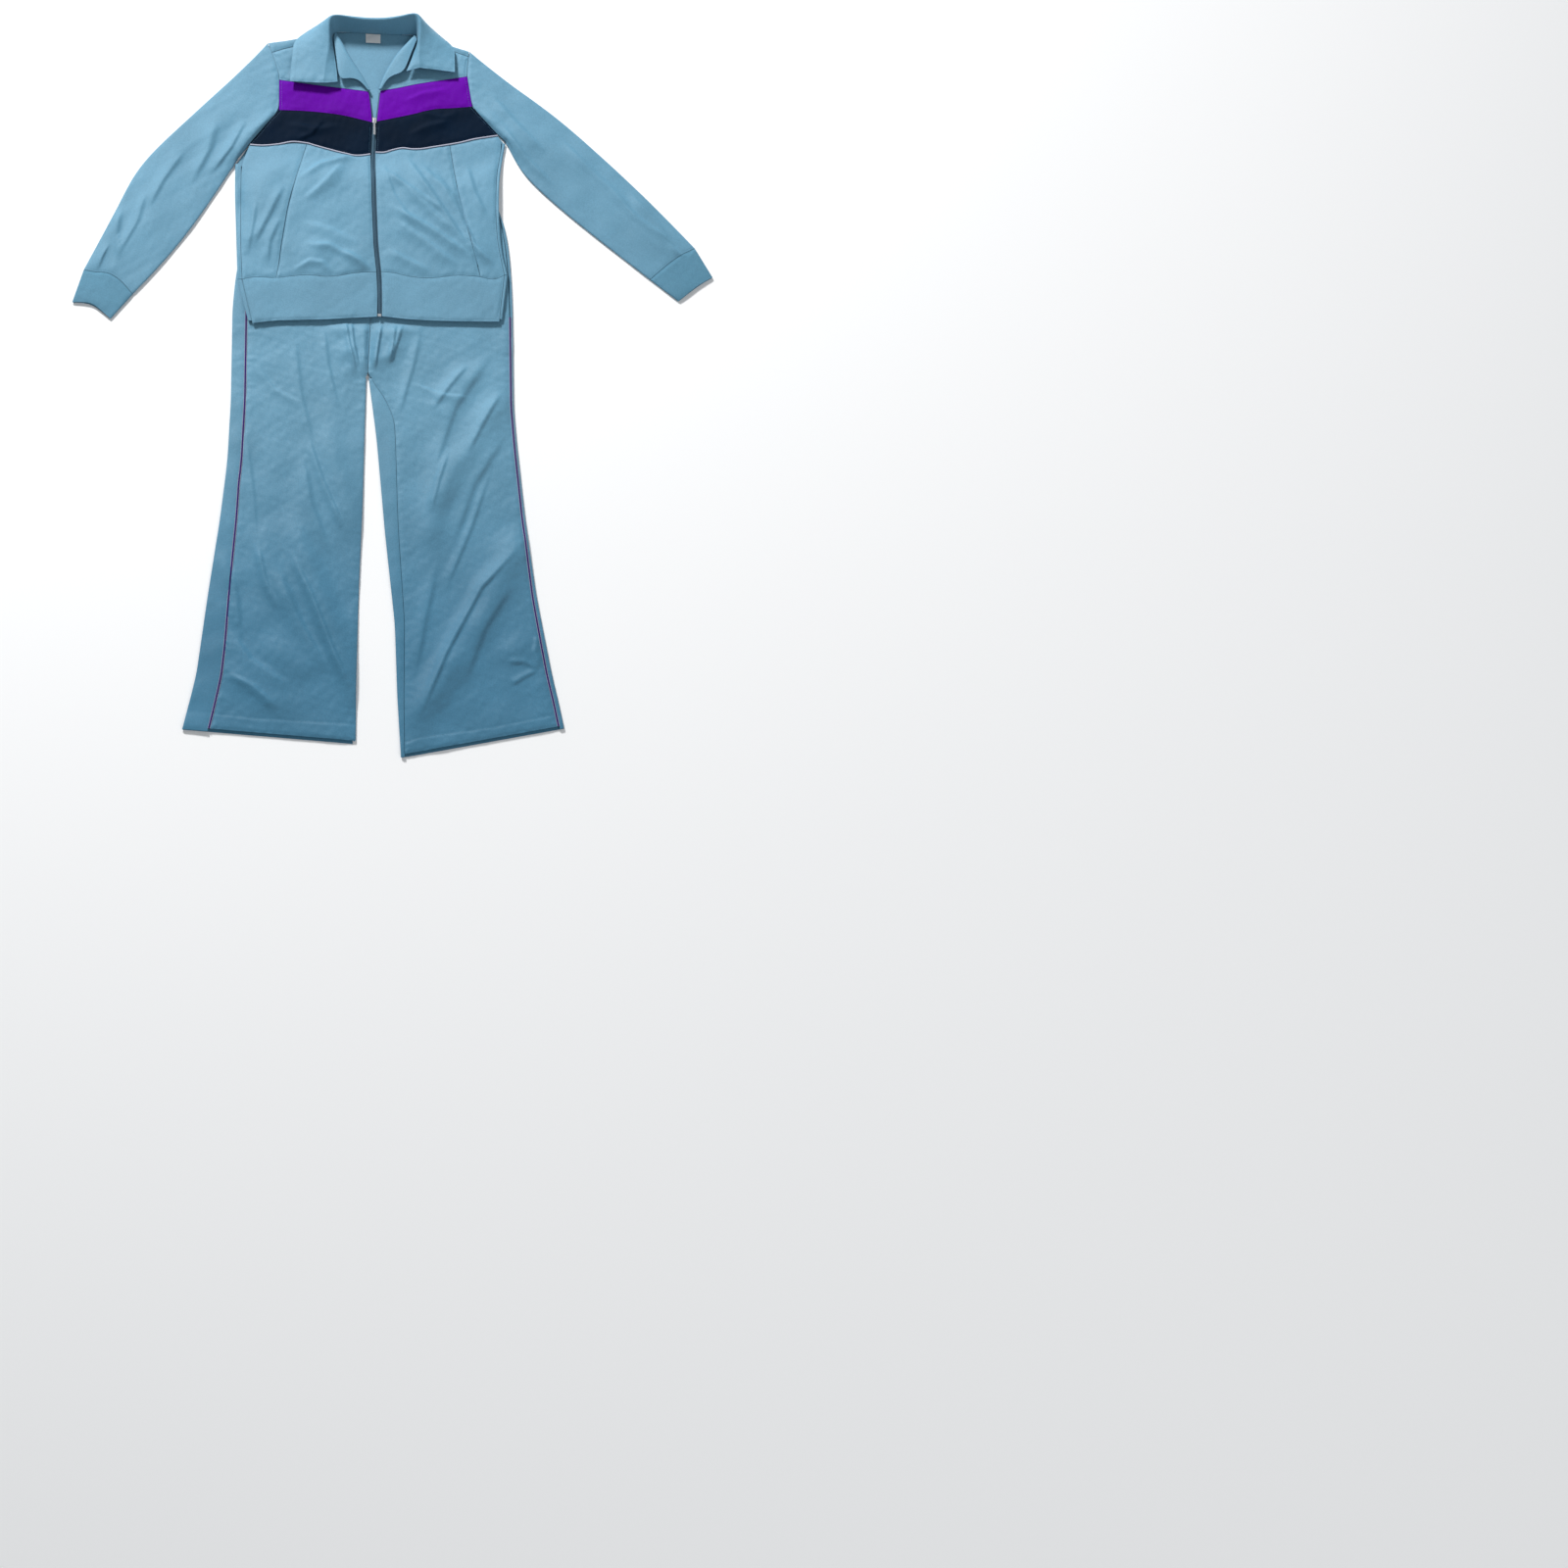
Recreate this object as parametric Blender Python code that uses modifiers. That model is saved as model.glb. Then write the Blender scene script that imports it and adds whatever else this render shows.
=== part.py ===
"""Tracksuit laid flat: a zip jacket with chest bands lying over flared trousers.

Tables hold centimetres on the floor plan: x to the right of the picture, y towards the
collar, z up. The wearer's right side lies at negative x.
"""
from collections import namedtuple
from math import cos, exp, hypot, pi, radians, sin

import bmesh
import bpy
from mathutils import Vector

CM = 0.01
WALL = 0.11            # single jersey cloth
DOUBLE_WALL = 0.17     # cuffs, hem bands and waistband are doubled
COLLAR_WALL = 0.16
HALF_GAP = 0.015       # half of the 0.3 mm left at every seam
SEWN = 0.03            # from an armhole line to the back, and to the sleeve
BAND_GAP = 0.06        # the doubled band is thicker, so its seam needs more room
EDGE_R = 0.27          # outer radius where the cloth turns over at an edge
LAYERED = 2 * EDGE_R   # two layers lying on each other, measured outside
CROWN = 0.10           # extra height away from the edges
CROWN_RUN = 2.5        # distance over which the crown builds up
ON_TROUSERS = 0.80     # how far the trousers lift the jacket that lies on them
RAMP = 2.0             # width of the slope from the floor up to the trousers

Point = namedtuple("Point", "x y")
Fold = namedtuple("Fold", "x0 y0 x1 y1 half_width height")

# Jacket outline and seams
RIGHT_EDGE = [Point(-22.6, 9.4), Point(-23.6, 13.4), Point(-24.6, 17.4), Point(-24.8, 22.0),
              Point(-25.0, 27.0), Point(-25.3, 34.0), Point(-25.3, 40.2)]
LEFT_EDGE = [Point(22.9, 10.9), Point(23.4, 15.0), Point(24.0, 19.9), Point(23.2, 23.0),
             Point(22.7, 27.0), Point(22.5, 34.0), Point(22.8, 40.0), Point(23.9, 46.1)]
RIGHT_SIDE_SEAM = [Point(-21.9, 9.2), Point(-23.8, 17.6), Point(-24.1, 24.0), Point(-24.2, 33.0),
                   Point(-24.2, 40.2), Point(-22.7, 44.0)]
LEFT_SIDE_SEAM = [Point(22.4, 10.8), Point(23.4, 19.9), Point(22.1, 27.0), Point(21.9, 34.0),
                  Point(22.2, 40.0), Point(23.3, 46.1), Point(22.55, 47.6)]
RIGHT_ARMHOLE = [Point(-19.5, 64.0), Point(-18.9, 62.4), Point(-17.7, 58.6), Point(-17.5, 57.0),
                 Point(-17.5, 51.0), Point(-20.0, 47.8), Point(-22.9, 44.0), Point(-24.98, 40.2)]
LEFT_ARMHOLE = [Point(17.3, 64.0), Point(17.2, 63.2), Point(16.9, 60.6), Point(16.9, 59.2),
                Point(17.8, 53.2), Point(20.1, 50.5), Point(22.7, 47.6), Point(23.58, 46.1)]
# Places along an armhole where the yoke, the purple band and the black band end
YOKE_TOP, YOKE_LOW, PURPLE_LOW, BLACK_LOW, ARMPIT = 1, 3, 4, 6, 7

HEM = {"right": [Point(-21.9, 9.2), Point(-18.0, 9.8), Point(-9.0, 10.3), Point(0.3, 11.1)],
       "left": [Point(1.2, 11.2), Point(6.7, 10.7), Point(14.0, 10.6), Point(22.4, 10.8)]}
BAND_SEAM = {"right": [Point(-23.8, 17.6), Point(-21.6, 18.1), Point(-18.1, 17.9), Point(-12.5, 18.8),
                       Point(-8.1, 18.5), Point(-3.3, 19.5), Point(0.2, 19.7)],
             "left": [Point(1.1, 19.8), Point(3.4, 19.7), Point(6.7, 18.9), Point(11.1, 18.9),
                      Point(14.5, 19.6), Point(18.6, 19.4), Point(21.5, 18.9), Point(23.4, 19.9)]}
BLACK_HEM = {"right": [Point(-22.9, 44.0), Point(-18.8, 44.0), Point(-15.8, 44.8), Point(-12.2, 44.6),
                       Point(-9.0, 43.8), Point(-5.7, 43.0), Point(-3.4, 42.6), Point(-0.9, 43.0)],
             "left": [Point(-0.1, 43.4), Point(1.9, 43.5), Point(4.5, 44.4), Point(7.5, 44.3),
                      Point(10.7, 44.9), Point(15.0, 45.8), Point(18.8, 46.9), Point(22.7, 47.6)]}
PURPLE_HEM = {"right": [Point(-17.5, 51.0), Point(-12.3, 51.0), Point(-7.0, 50.6), Point(-3.7, 50.0),
                        Point(-0.8, 49.3)],
              "left": [Point(0.4, 49.5), Point(4.2, 50.5), Point(7.5, 51.4), Point(10.8, 52.4),
                       Point(14.2, 52.7), Point(17.8, 53.2)]}
YOKE_HEM = {"right": [Point(-17.5, 57.0), Point(-12.0, 56.4), Point(-6.8, 55.9), Point(-1.2, 55.4)],
            "left": [Point(0.9, 55.7), Point(3.6, 56.2), Point(7.7, 57.3), Point(13.0, 58.4),
                     Point(16.9, 59.2)]}
SHOULDER_SEAM = {"right": [Point(-18.9, 62.4), Point(-7.4, 66.4)],
                 "left": [Point(7.4, 66.6), Point(17.2, 63.2)]}
HEM_CUT = {"right": Point(-16.6, 9.9), "left": Point(17.7, 10.65)}
POCKET_SEAM = {"right": [Point(-17.8, 17.95), Point(-17.2, 21.1), Point(-15.2, 34.0), Point(-12.4, 44.7)],
               "left": [Point(19.0, 19.4), Point(18.2, 22.8), Point(15.4, 34.0), Point(13.6, 45.5)]}

# Top edge of the back: shoulder edge, neckline, shoulder edge
BACK_TOP = [Point(-19.5, 64.3), Point(-15.5, 65.0), Point(-11.5, 66.2), Point(-8.5, 67.0),
            Point(-6.9, 67.5), Point(-3.5, 67.65), Point(3.5, 67.65), Point(6.9, 67.5),
            Point(8.5, 67.0), Point(11.5, 66.2), Point(14.5, 65.1), Point(17.3, 64.3)]

# Centre line of the zip, from the hem up to the slider
ZIP = [Point(0.75, 11.1), Point(0.8, 14.0), Point(0.75, 18.5), Point(0.1, 25.0), Point(-0.2, 33.0),
       Point(-0.45, 43.0), Point(-0.25, 47.0), Point(-0.15, 50.2)]
ZIP_OPENING = 0.42     # from the centre line to the edge of each front
SLIDER_Y = 49.6
# Edge of each front from the slider to the corner where the yoke begins to roll out
OPENING = {"right": [Point(-0.57, 50.2), Point(-0.85, 52.5), Point(-1.2, 55.4)],
           "left": [Point(0.27, 50.2), Point(0.55, 52.5), Point(0.9, 55.7)]}

# The yoke rolls out at the neck: fold line, free end, and depth of the roll, row by row
Roll = namedtuple("Roll", "fold_x fold_y end_x end_y depth")
NECK_ROLL = {
    "right": [Roll(-1.2, 55.4, -1.5, 55.65, 0.40), Roll(-2.5, 57.7, -3.0, 57.4, 0.75),
              Roll(-4.1, 60.0, -5.0, 57.5, 0.95), Roll(-5.4, 62.0, -6.7, 56.8, 1.10),
              Roll(-6.3, 64.0, -7.0, 60.8, 0.95), Roll(-7.4, 66.4, -7.6, 65.6, 0.60)],
    "left": [Roll(0.9, 55.7, 1.2, 55.95, 0.40), Roll(1.9, 58.3, 2.2, 57.8, 0.75),
             Roll(3.1, 60.3, 3.6, 58.5, 0.95), Roll(4.2, 62.2, 5.3, 59.0, 1.10),
             Roll(5.7, 64.2, 6.2, 62.0, 0.95), Roll(7.4, 66.6, 7.6, 65.8, 0.60)]}

# Collar: neck seam, crest where it turns, free edge, from the right front round to the left
Collar = namedtuple("Collar", "neck crest edge")
COLLAR = [
    Collar((-6.9, 56.5, 1.86), (-9.5, 56.1, 2.15), (-15.5, 56.2, 1.90)),
    Collar((-7.0, 58.6, 1.82), (-9.3, 58.3, 2.15), (-15.4, 58.6, 1.75)),
    Collar((-7.3, 60.8, 1.75), (-8.9, 60.6, 2.30), (-15.2, 60.8, 1.65)),
    Collar((-7.6, 62.8, 1.70), (-8.6, 62.9, 2.60), (-15.0, 62.8, 1.50)),
    Collar((-7.9, 65.0, 1.40), (-8.6, 65.6, 3.10), (-14.9, 64.6, 1.20)),
    Collar((-7.7, 66.6, 1.00), (-8.6, 67.6, 3.60), (-12.7, 66.6, 0.90)),
    Collar((-6.7, 67.45, 0.35), (-7.9, 69.0, 3.90), (-9.6, 68.9, 0.60)),
    Collar((-4.6, 67.5, 0.17), (-5.0, 68.6, 3.70), (-5.8, 69.7, 0.35)),
    Collar((-1.6, 67.5, 0.17), (-1.7, 68.4, 3.55), (-1.8, 69.6, 0.35)),
    Collar((1.6, 67.5, 0.17), (1.7, 68.5, 3.55), (1.8, 69.6, 0.35)),
    Collar((4.6, 67.5, 0.17), (5.0, 69.2, 3.70), (5.6, 70.2, 0.35)),
    Collar((6.8, 67.5, 0.35), (7.8, 70.1, 4.00), (9.2, 69.9, 0.60)),
    Collar((7.7, 66.8, 1.00), (8.3, 68.2, 3.60), (11.6, 67.2, 0.90)),
    Collar((7.8, 65.0, 1.40), (8.3, 65.6, 3.10), (14.5, 64.9, 1.25)),
    Collar((7.1, 63.2, 1.75), (8.0, 63.4, 2.60), (14.6, 63.2, 1.55)),
    Collar((6.5, 61.2, 1.76), (8.0, 61.6, 2.35), (14.6, 61.4, 1.65)),
    Collar((5.7, 59.2, 1.86), (8.2, 59.8, 2.25), (14.6, 59.4, 1.85))]

# Sleeves: silhouette on the outer and on the inner side, and the seam and end of each cuff
SLEEVE_OUTER = {"right": [Point(-19.6, 64.6), Point(-25.6, 57.4), Point(-36.2, 45.9), Point(-42.0, 39.7),
                          Point(-43.3, 37.2), Point(-44.8, 33.4), Point(-51.6, 18.9)],
                "left": [Point(17.35, 64.6), Point(26.7, 56.7), Point(33.5, 51.6), Point(45.7, 40.3),
                         Point(54.0, 31.8), Point(58.8, 26.6)]}
SLEEVE_INNER = {"right": [Point(-25.85, 39.75), Point(-29.6, 33.2), Point(-33.7, 26.6), Point(-38.4, 20.2),
                          Point(-43.1, 14.6)],
                "left": [Point(24.35, 46.2), Point(26.4, 41.8), Point(29.2, 38.1), Point(36.3, 31.7),
                         Point(43.8, 25.6), Point(50.4, 20.3)]}
CUFF_SEAM = {"right": [Point(-51.6, 18.9), Point(-49.6, 18.5), Point(-47.6, 18.4), Point(-45.4, 17.2),
                       Point(-43.1, 14.6)],
             "left": [Point(58.8, 26.6), Point(55.9, 25.0), Point(53.0, 22.7), Point(50.4, 20.3)]}
CUFF_END = {"right": [Point(-53.5, 12.7), Point(-51.8, 12.7), Point(-50.1, 12.4), Point(-48.6, 11.3),
                      Point(-46.9, 9.8)],
            "left": [Point(62.0, 21.0), Point(59.3, 19.3), Point(57.2, 17.5), Point(55.6, 16.2)]}

# Trousers: outer and inner edge of each leg, and the centre seam above the crotch
CROTCH_Y = 0.0
CENTRE_SEAM = [Point(-1.4, -0.5), Point(-1.2, 4.0), Point(-0.9, 10.0), Point(-0.3, 20.0), Point(0.2, 33.4)]
LEG_OUTER = {"right": [Point(-33.2, -65.0), Point(-32.0, -60.0), Point(-31.0, -55.5), Point(-29.3, -41.8),
                       Point(-27.3, -27.4), Point(-26.1, -16.5), Point(-25.6, -5.0), Point(-25.5, 13.0),
                       Point(-24.9, 19.3), Point(-23.4, 27.5), Point(-21.9, 33.4)],
             "left": [Point(33.2, -64.6), Point(32.3, -60.0), Point(31.3, -55.6), Point(28.7, -41.1),
                      Point(26.8, -26.5), Point(25.4, -12.0), Point(24.9, -5.0), Point(24.9, 14.6),
                      Point(24.6, 22.3), Point(23.9, 29.0), Point(22.4, 33.4)]}
LEG_INNER = {"right": [Point(-3.4, -67.5), Point(-3.3, -57.6), Point(-2.9, -40.8), Point(-2.2, -24.1),
                       Point(-1.8, -8.0), Point(-1.6, -0.5)],
             "left": [Point(4.4, -70.0), Point(3.8, -59.3), Point(3.4, -46.3), Point(1.7, -29.7),
                      Point(0.2, -11.7), Point(-1.2, -0.5)]}
# How far each seam lies in from the edge of its leg on the upper side
SIDE_SEAM_IN = {"right": [Point(4.5, -65.0), Point(4.2, -50.0), Point(3.3, -35.0), Point(2.5, -20.0),
                          Point(2.5, 9.0), Point(2.4, 33.4)],
                "left": [Point(0.95, -64.6), Point(0.9, -50.0), Point(0.6, -30.0), Point(0.5, -8.0),
                         Point(0.5, 33.4)]}
INSEAM_IN = [Point(0.7, -70.0), Point(1.3, -57.0), Point(2.6, -25.0), Point(3.6, -8.0), Point(2.4, -4.0),
             Point(0.7, -1.0)]
LEG_ROWS = [33.4, 27.0, 19.0, 12.0, 9.8, 7.8, 5.8, 3.8, 2.0, 0.4, -1.2, -4.0, -8.0, -13.0, -18.0,
            -23.0, -28.0, -33.0, -38.0, -43.0, -48.0, -53.0, -57.5, -61.5, -65.0]
STRAIGHT_TO = -10.0    # rows are level above this and slant towards the hem below it
BACK_HEM_DROP = 0.5    # the back of each leg shows below the front
WAIST_Y = 33.4
WAIST_TOP_Y = 37.0

# Folds and gathers: ridges above zero, troughs below
TROUSER_FOLDS = [
    Fold(-9.0, -10.0, -3.5, -30.0, 1.7, 0.40), Fold(-14.8, -27.0, -3.6, -60.0, 2.0, 0.55),
    Fold(-20.5, -30.0, -15.0, -45.0, 1.6, 0.40), Fold(-26.0, -54.0, -15.5, -62.0, 1.6, 0.40),
    Fold(-19.5, -50.0, -11.0, -55.0, 1.7, 0.30), Fold(-11.5, -29.0, -4.0, -45.0, 1.6, -0.25),
    Fold(26.0, -30.0, 7.5, -64.0, 2.1, 0.75), Fold(24.0, -34.0, 10.0, -58.0, 1.6, -0.25),
    Fold(23.0, -2.0, 10.0, -26.0, 1.8, 0.40), Fold(17.5, 2.5, 9.5, -8.0, 1.7, 0.35),
    Fold(13.5, -14.0, 9.0, -32.0, 1.7, 0.35), Fold(28.5, -52.0, 19.0, -50.0, 1.3, 0.30),
    Fold(-7.4, 11.0, -4.2, 0.0, 0.55, 0.30), Fold(-5.6, 11.0, -3.6, 2.0, 0.50, 0.32),
    Fold(-2.4, 11.0, -2.0, 1.0, 0.65, 0.36), Fold(1.0, 11.0, -0.2, 1.5, 0.60, 0.36),
    Fold(2.9, 11.0, 0.9, 1.5, 0.50, 0.34), Fold(4.6, 11.0, 1.9, 2.5, 0.50, 0.34),
    Fold(6.4, 11.0, 2.9, 3.5, 0.50, 0.28)]
JACKET_FOLDS = [
    Fold(-13.6, 36.0, -4.0, 42.2, 1.0, 0.30), Fold(-11.6, 35.0, -7.0, 38.5, 0.9, 0.22),
    Fold(5.5, 42.5, 17.5, 24.0, 1.3, 0.40), Fold(1.5, 40.0, 13.0, 31.0, 1.2, 0.35),
    Fold(2.2, 33.5, 17.5, 22.5, 1.6, 0.40), Fold(16.0, 31.0, 21.0, 21.5, 1.2, 0.40),
    Fold(-13.5, 24.8, 0.0, 20.6, 1.1, 0.35), Fold(-16.0, 19.8, -9.0, 21.2, 0.9, 0.25),
    Fold(-19.5, 40.0, -22.0, 24.0, 1.4, 0.30), Fold(-12.0, 48.0, -16.0, 45.5, 1.2, 0.22),
    Fold(9.5, 56.0, 15.5, 53.5, 1.1, 0.20)]
SLEEVE_FOLDS = [
    Fold(-20.5, 50.5, -24.5, 42.0, 1.6, 0.40), Fold(-24.0, 52.0, -33.0, 44.0, 1.8, 0.30),
    Fold(-38.0, 36.0, -41.5, 24.0, 1.8, 0.30), Fold(-47.5, 28.0, -47.8, 19.2, 1.1, 0.30),
    Fold(-44.2, 24.0, -45.6, 18.6, 0.9, 0.25),
    Fold(20.0, 54.0, 29.0, 43.0, 1.8, 0.40), Fold(27.5, 50.0, 40.0, 39.0, 1.9, 0.30),
    Fold(44.0, 36.0, 51.0, 28.0, 1.8, 0.30), Fold(49.5, 29.5, 53.6, 24.0, 1.0, 0.25),
    Fold(53.0, 31.0, 56.0, 26.2, 1.0, 0.25)]

SIDE_COLUMNS = 4       # columns of a lower front outside its pocket seam
CENTRE_COLUMNS = 8     # columns between the pocket seam and the zip
FRONT_ROWS = 8         # rows of a lower front up to the armpit
YOKE_ROWS = 5
BAND_ROWS = 3
FRONT_LEG_COLUMNS = 13
BACK_LEG_COLUMNS = 5
EDGE_COLUMNS = [0.0, 1.0, 2.0, 3.2]              # of the back, from each of its sides
BACK_SHARES = [0.14, 0.292, 0.44, 0.60, 0.775, 0.89]   # columns between those
NECK_COLUMN = 5        # where the back stops turning over the shoulder
ARM_UNDER = [13, 12, 9, 6, 3, 0]                 # armhole points used on the underside
SLEEVE_ROWS = [0.0, 0.05, 0.11, 0.19, 0.29, 0.40, 0.52, 0.64, 0.76, 0.88, 1.0]
TURN = [45, 90, 135]   # degrees round an edge
PIPING_R = 0.11
PIPING_SUNK = 0.03     # the piping lies in its seam with its centre this far below the cloth
PIPING_SLOT = 0.15     # from the middle of a piped seam to the panel on each side
CREST_R = 0.36         # half width of the collar where it turns
CREST_DROP = 0.13      # how far its two sides lie below its crest
LIGHT_WALL = 0.10      # zip tape, pocket bag and label
ARMPIT_BULGE = 0.30    # a sleeve's extra height beside the armpit
BAG_WIDE, BAG_COLUMNS, BAG_PAST = 9.0, 5, 0.6    # pocket bag: width, columns, reach past its seam
BAG_UNDER, BAG_HEIGHT = 0.09, 0.28               # below the front at its seam, above the back
COIL_R = 0.13
ZIP_ROWS = 14
SLIDER_X = -0.17
SLIDER_SIZE = (0.74, 1.05, 0.24)
BRIDGE_SIZE = (0.20, 0.62, 0.20)
STOP_SIZE = (0.60, 0.50, 0.22)
PULL_LONG, PULL_WIDE, PULL_THICK = 2.3, 0.42, 0.10
PULL_DROP = 0.22       # how far the free end of the pull hangs below its hinge
BACK_BAND_SIDE = {"right": [Point(-22.03, 9.77), Point(-23.8, 17.6)],
                  "left": [Point(22.46, 11.35), Point(23.4, 19.9)]}
LABEL_ROWS = [(65.25, 0.50), (66.2, 0.36), (67.1, 0.24)]    # y and height
LABEL_COLUMNS = [-1.75, -0.4, 0.95]

BLUE = (0.145, 0.335, 0.470)
BLUE_DEEP = (0.085, 0.265, 0.385)
PURPLE = (0.130, 0.003, 0.330)
BLACK = (0.003, 0.008, 0.018)
PALE = (0.330, 0.270, 0.420)
WHITE = (0.800, 0.820, 0.820)
TAPE = (0.060, 0.130, 0.190)
SILVER = (0.720, 0.730, 0.740)


def spline(points, share):
    """The point at a share of the length of a smooth line through the points."""
    steps = [0.0]
    for a, b in zip(points, points[1:]):
        steps.append(steps[-1] + hypot(b[0] - a[0], b[1] - a[1]))
    reach = min(max(share, 0.0), 1.0) * steps[-1]
    k = 0
    while k < len(points) - 2 and reach > steps[k + 1]:
        k += 1
    t = (reach - steps[k]) / (steps[k + 1] - steps[k])
    before = points[max(k - 1, 0)]
    after = points[min(k + 2, len(points) - 1)]
    a, b = points[k], points[k + 1]
    out = []
    for c in range(len(a)):
        ta = (b[c] - before[c]) / 2
        tb = (after[c] - a[c]) / 2
        out.append(a[c] * (1 + 2 * t) * (1 - t) ** 2 + ta * t * (1 - t) ** 2
                   + b[c] * t * t * (3 - 2 * t) - tb * t * t * (1 - t))
    return out


def spread(points, count):
    return [spline(points, k / count) for k in range(count + 1)]


def across(points, y):
    """x of an outline at a height y, its points given from low y to high y."""
    if y <= points[0].y:
        return points[0].x
    for a, b in zip(points, points[1:]):
        if y <= b.y:
            t = (y - a.y) / (b.y - a.y)
            return a.x + (b.x - a.x) * t
    return points[-1].x


def lerp(a, b, t):
    return [p + (q - p) * t for p, q in zip(a, b)]


def smooth(t):
    t = min(max(t, 0.0), 1.0)
    return t * t * (3 - 2 * t)


def fold_height(folds, x, y):
    """Sum of the ridges and troughs at a place, each fading out at its ends."""
    total = 0.0
    for f in folds:
        run = hypot(f.x1 - f.x0, f.y1 - f.y0)
        ux, uy = (f.x1 - f.x0) / run, (f.y1 - f.y0) / run
        along = ((x - f.x0) * ux + (y - f.y0) * uy) / run
        side = (x - f.x0) * -uy + (y - f.y0) * ux
        if -0.1 < along < 1.1 and abs(side) < 3 * f.half_width:
            fade = smooth((along + 0.1) / 0.3) * smooth((1.1 - along) / 0.3)
            total += f.height * fade * exp(-(side / f.half_width) ** 2)
    return total


def lift(x, y):
    """Height of the jacket's underside: on the floor, or up on the trousers."""
    right = smooth((x - across(LEG_OUTER["right"], y) + RAMP) / RAMP)
    left = smooth((across(LEG_OUTER["left"], y) + RAMP - x) / RAMP)
    return ON_TROUSERS * right * left * smooth((WAIST_TOP_Y + 4.2 - y) / 3.2)


def crown(distance):
    return CROWN * (1 - exp(-max(distance, 0.0) / CROWN_RUN))


def jacket_height(x, y):
    """Outer face of the jacket's upper layer."""
    armpit = RIGHT_EDGE[-1].y
    inside = min(x - across(RIGHT_EDGE, y), across(LEFT_EDGE, y) - x)
    rise = crown(inside - EDGE_R) if y < armpit else crown(inside - EDGE_R + (y - armpit))
    return lift(x, y) + LAYERED + rise + fold_height(JACKET_FOLDS, x, y)


def material(name, colour, roughness, metallic=0.0):
    mat = bpy.data.materials.get(name)
    if mat is None:
        mat = bpy.data.materials.new(name)
        mat.use_nodes = True
        shader = mat.node_tree.nodes["Principled BSDF"]
        shader.inputs["Base Color"].default_value = (*colour, 1.0)
        shader.inputs["Roughness"].default_value = roughness
        shader.inputs["Metallic"].default_value = metallic
    return mat


def adopt(obj, mat):
    """Put an object in the tracksuit's collection, under its origin, with its material."""
    PARTS.objects.link(obj)
    obj.data.materials.append(mat)
    obj.parent = ROOT
    return obj


def cloth(name, grids, wall, mat, flip=False, closed=False):
    """One piece of cloth: grids of outer-face points, joined where they meet, given a wall."""
    bm = bmesh.new()
    for grid in grids:
        rows = [[bm.verts.new(Vector(p) * CM) for p in row] for row in grid]
        count = len(rows[0])
        for lower, upper in zip(rows, rows[1:]):
            for c in range(count if closed else count - 1):
                d = (c + 1) % count
                face = [lower[c], lower[d], upper[d], upper[c]]
                bm.faces.new(face[::-1] if flip else face)
    bmesh.ops.remove_doubles(bm, verts=bm.verts, dist=0.00002)
    mesh = bpy.data.meshes.new(name)
    bm.to_mesh(mesh)
    bm.free()
    mesh.shade_smooth()
    obj = adopt(bpy.data.objects.new(name, mesh), mat)
    shell = obj.modifiers.new("wall", "SOLIDIFY")
    shell.thickness = wall * CM
    shell.offset = -1.0
    shell.use_even_offset = True
    return obj


def coons(low, high, start, end):
    """Plan points filling four boundary lines: low and high by column, start and end by row."""
    columns, rows = len(low) - 1, len(start) - 1
    grid = []
    for r in range(rows + 1):
        t = r / rows
        line = []
        for c in range(columns + 1):
            s = c / columns
            point = []
            for k in range(2):
                ruled = low[c][k] * (1 - t) + high[c][k] * t + start[r][k] * (1 - s) + end[r][k] * s
                corners = ((low[0][k] * (1 - s) + low[-1][k] * s) * (1 - t)
                           + (high[0][k] * (1 - s) + high[-1][k] * s) * t)
                point.append(ruled - corners)
            line.append(point)
        grid.append(line)
    return grid


def trim(grid, low=HALF_GAP, high=HALF_GAP):
    """Draw the border of a plan grid in by half a seam gap, or more at its low or high end."""
    for border, near, depth in ((grid[0], grid[1], low), (grid[-1], grid[-2], high)):
        for point, other in zip(border, near):
            share = depth / abs(other[1] - point[1])
            point[0] += (other[0] - point[0]) * share
            point[1] += (other[1] - point[1]) * share
    for row in grid:
        for end, near in ((0, 1), (-1, -2)):
            share = HALF_GAP / abs(row[near][0] - row[end][0])
            row[end][0] += (row[near][0] - row[end][0]) * share
            row[end][1] += (row[near][1] - row[end][1]) * share
    return grid


def raised(grid):
    return [[(x, y, jacket_height(x, y)) for x, y in row] for row in grid]


def armhole_points(side):
    """Armhole points from the shoulder edge to the armpit, row by row of the fronts."""
    line = RIGHT_ARMHOLE if side == "right" else LEFT_ARMHOLE
    points = [list(line[0])]
    stretches = ((YOKE_TOP, YOKE_LOW, YOKE_ROWS), (YOKE_LOW, PURPLE_LOW, BAND_ROWS),
                 (PURPLE_LOW, BLACK_LOW, BAND_ROWS))
    for first, last, count in stretches:
        points += spread(line[first:last + 1], count)[:-1]
    points.append(list(line[BLACK_LOW]))
    points.append(list(line[ARMPIT]))
    return points


def front_lines(side):
    """Column points along each seam that crosses a front, from low x to high x."""
    counts = (SIDE_COLUMNS, CENTRE_COLUMNS) if side == "right" else (CENTRE_COLUMNS, SIDE_COLUMNS)

    def split(line, cut):
        first = [p for p in line if p.x < cut.x - 0.4] + [cut]
        second = [cut] + [p for p in line if p.x > cut.x + 0.4]
        return spread(first, counts[0]) + spread(second, counts[1])[1:]

    pocket, total = POCKET_SEAM[side], sum(counts)
    return {"hem": split(HEM[side], HEM_CUT[side]), "band": split(BAND_SEAM[side], pocket[0]),
            "black": split(BLACK_HEM[side], pocket[-1]), "purple": spread(PURPLE_HEM[side], total),
            "yoke": spread(YOKE_HEM[side], total), "shoulder": spread(SHOULDER_SEAM[side], total)}


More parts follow.
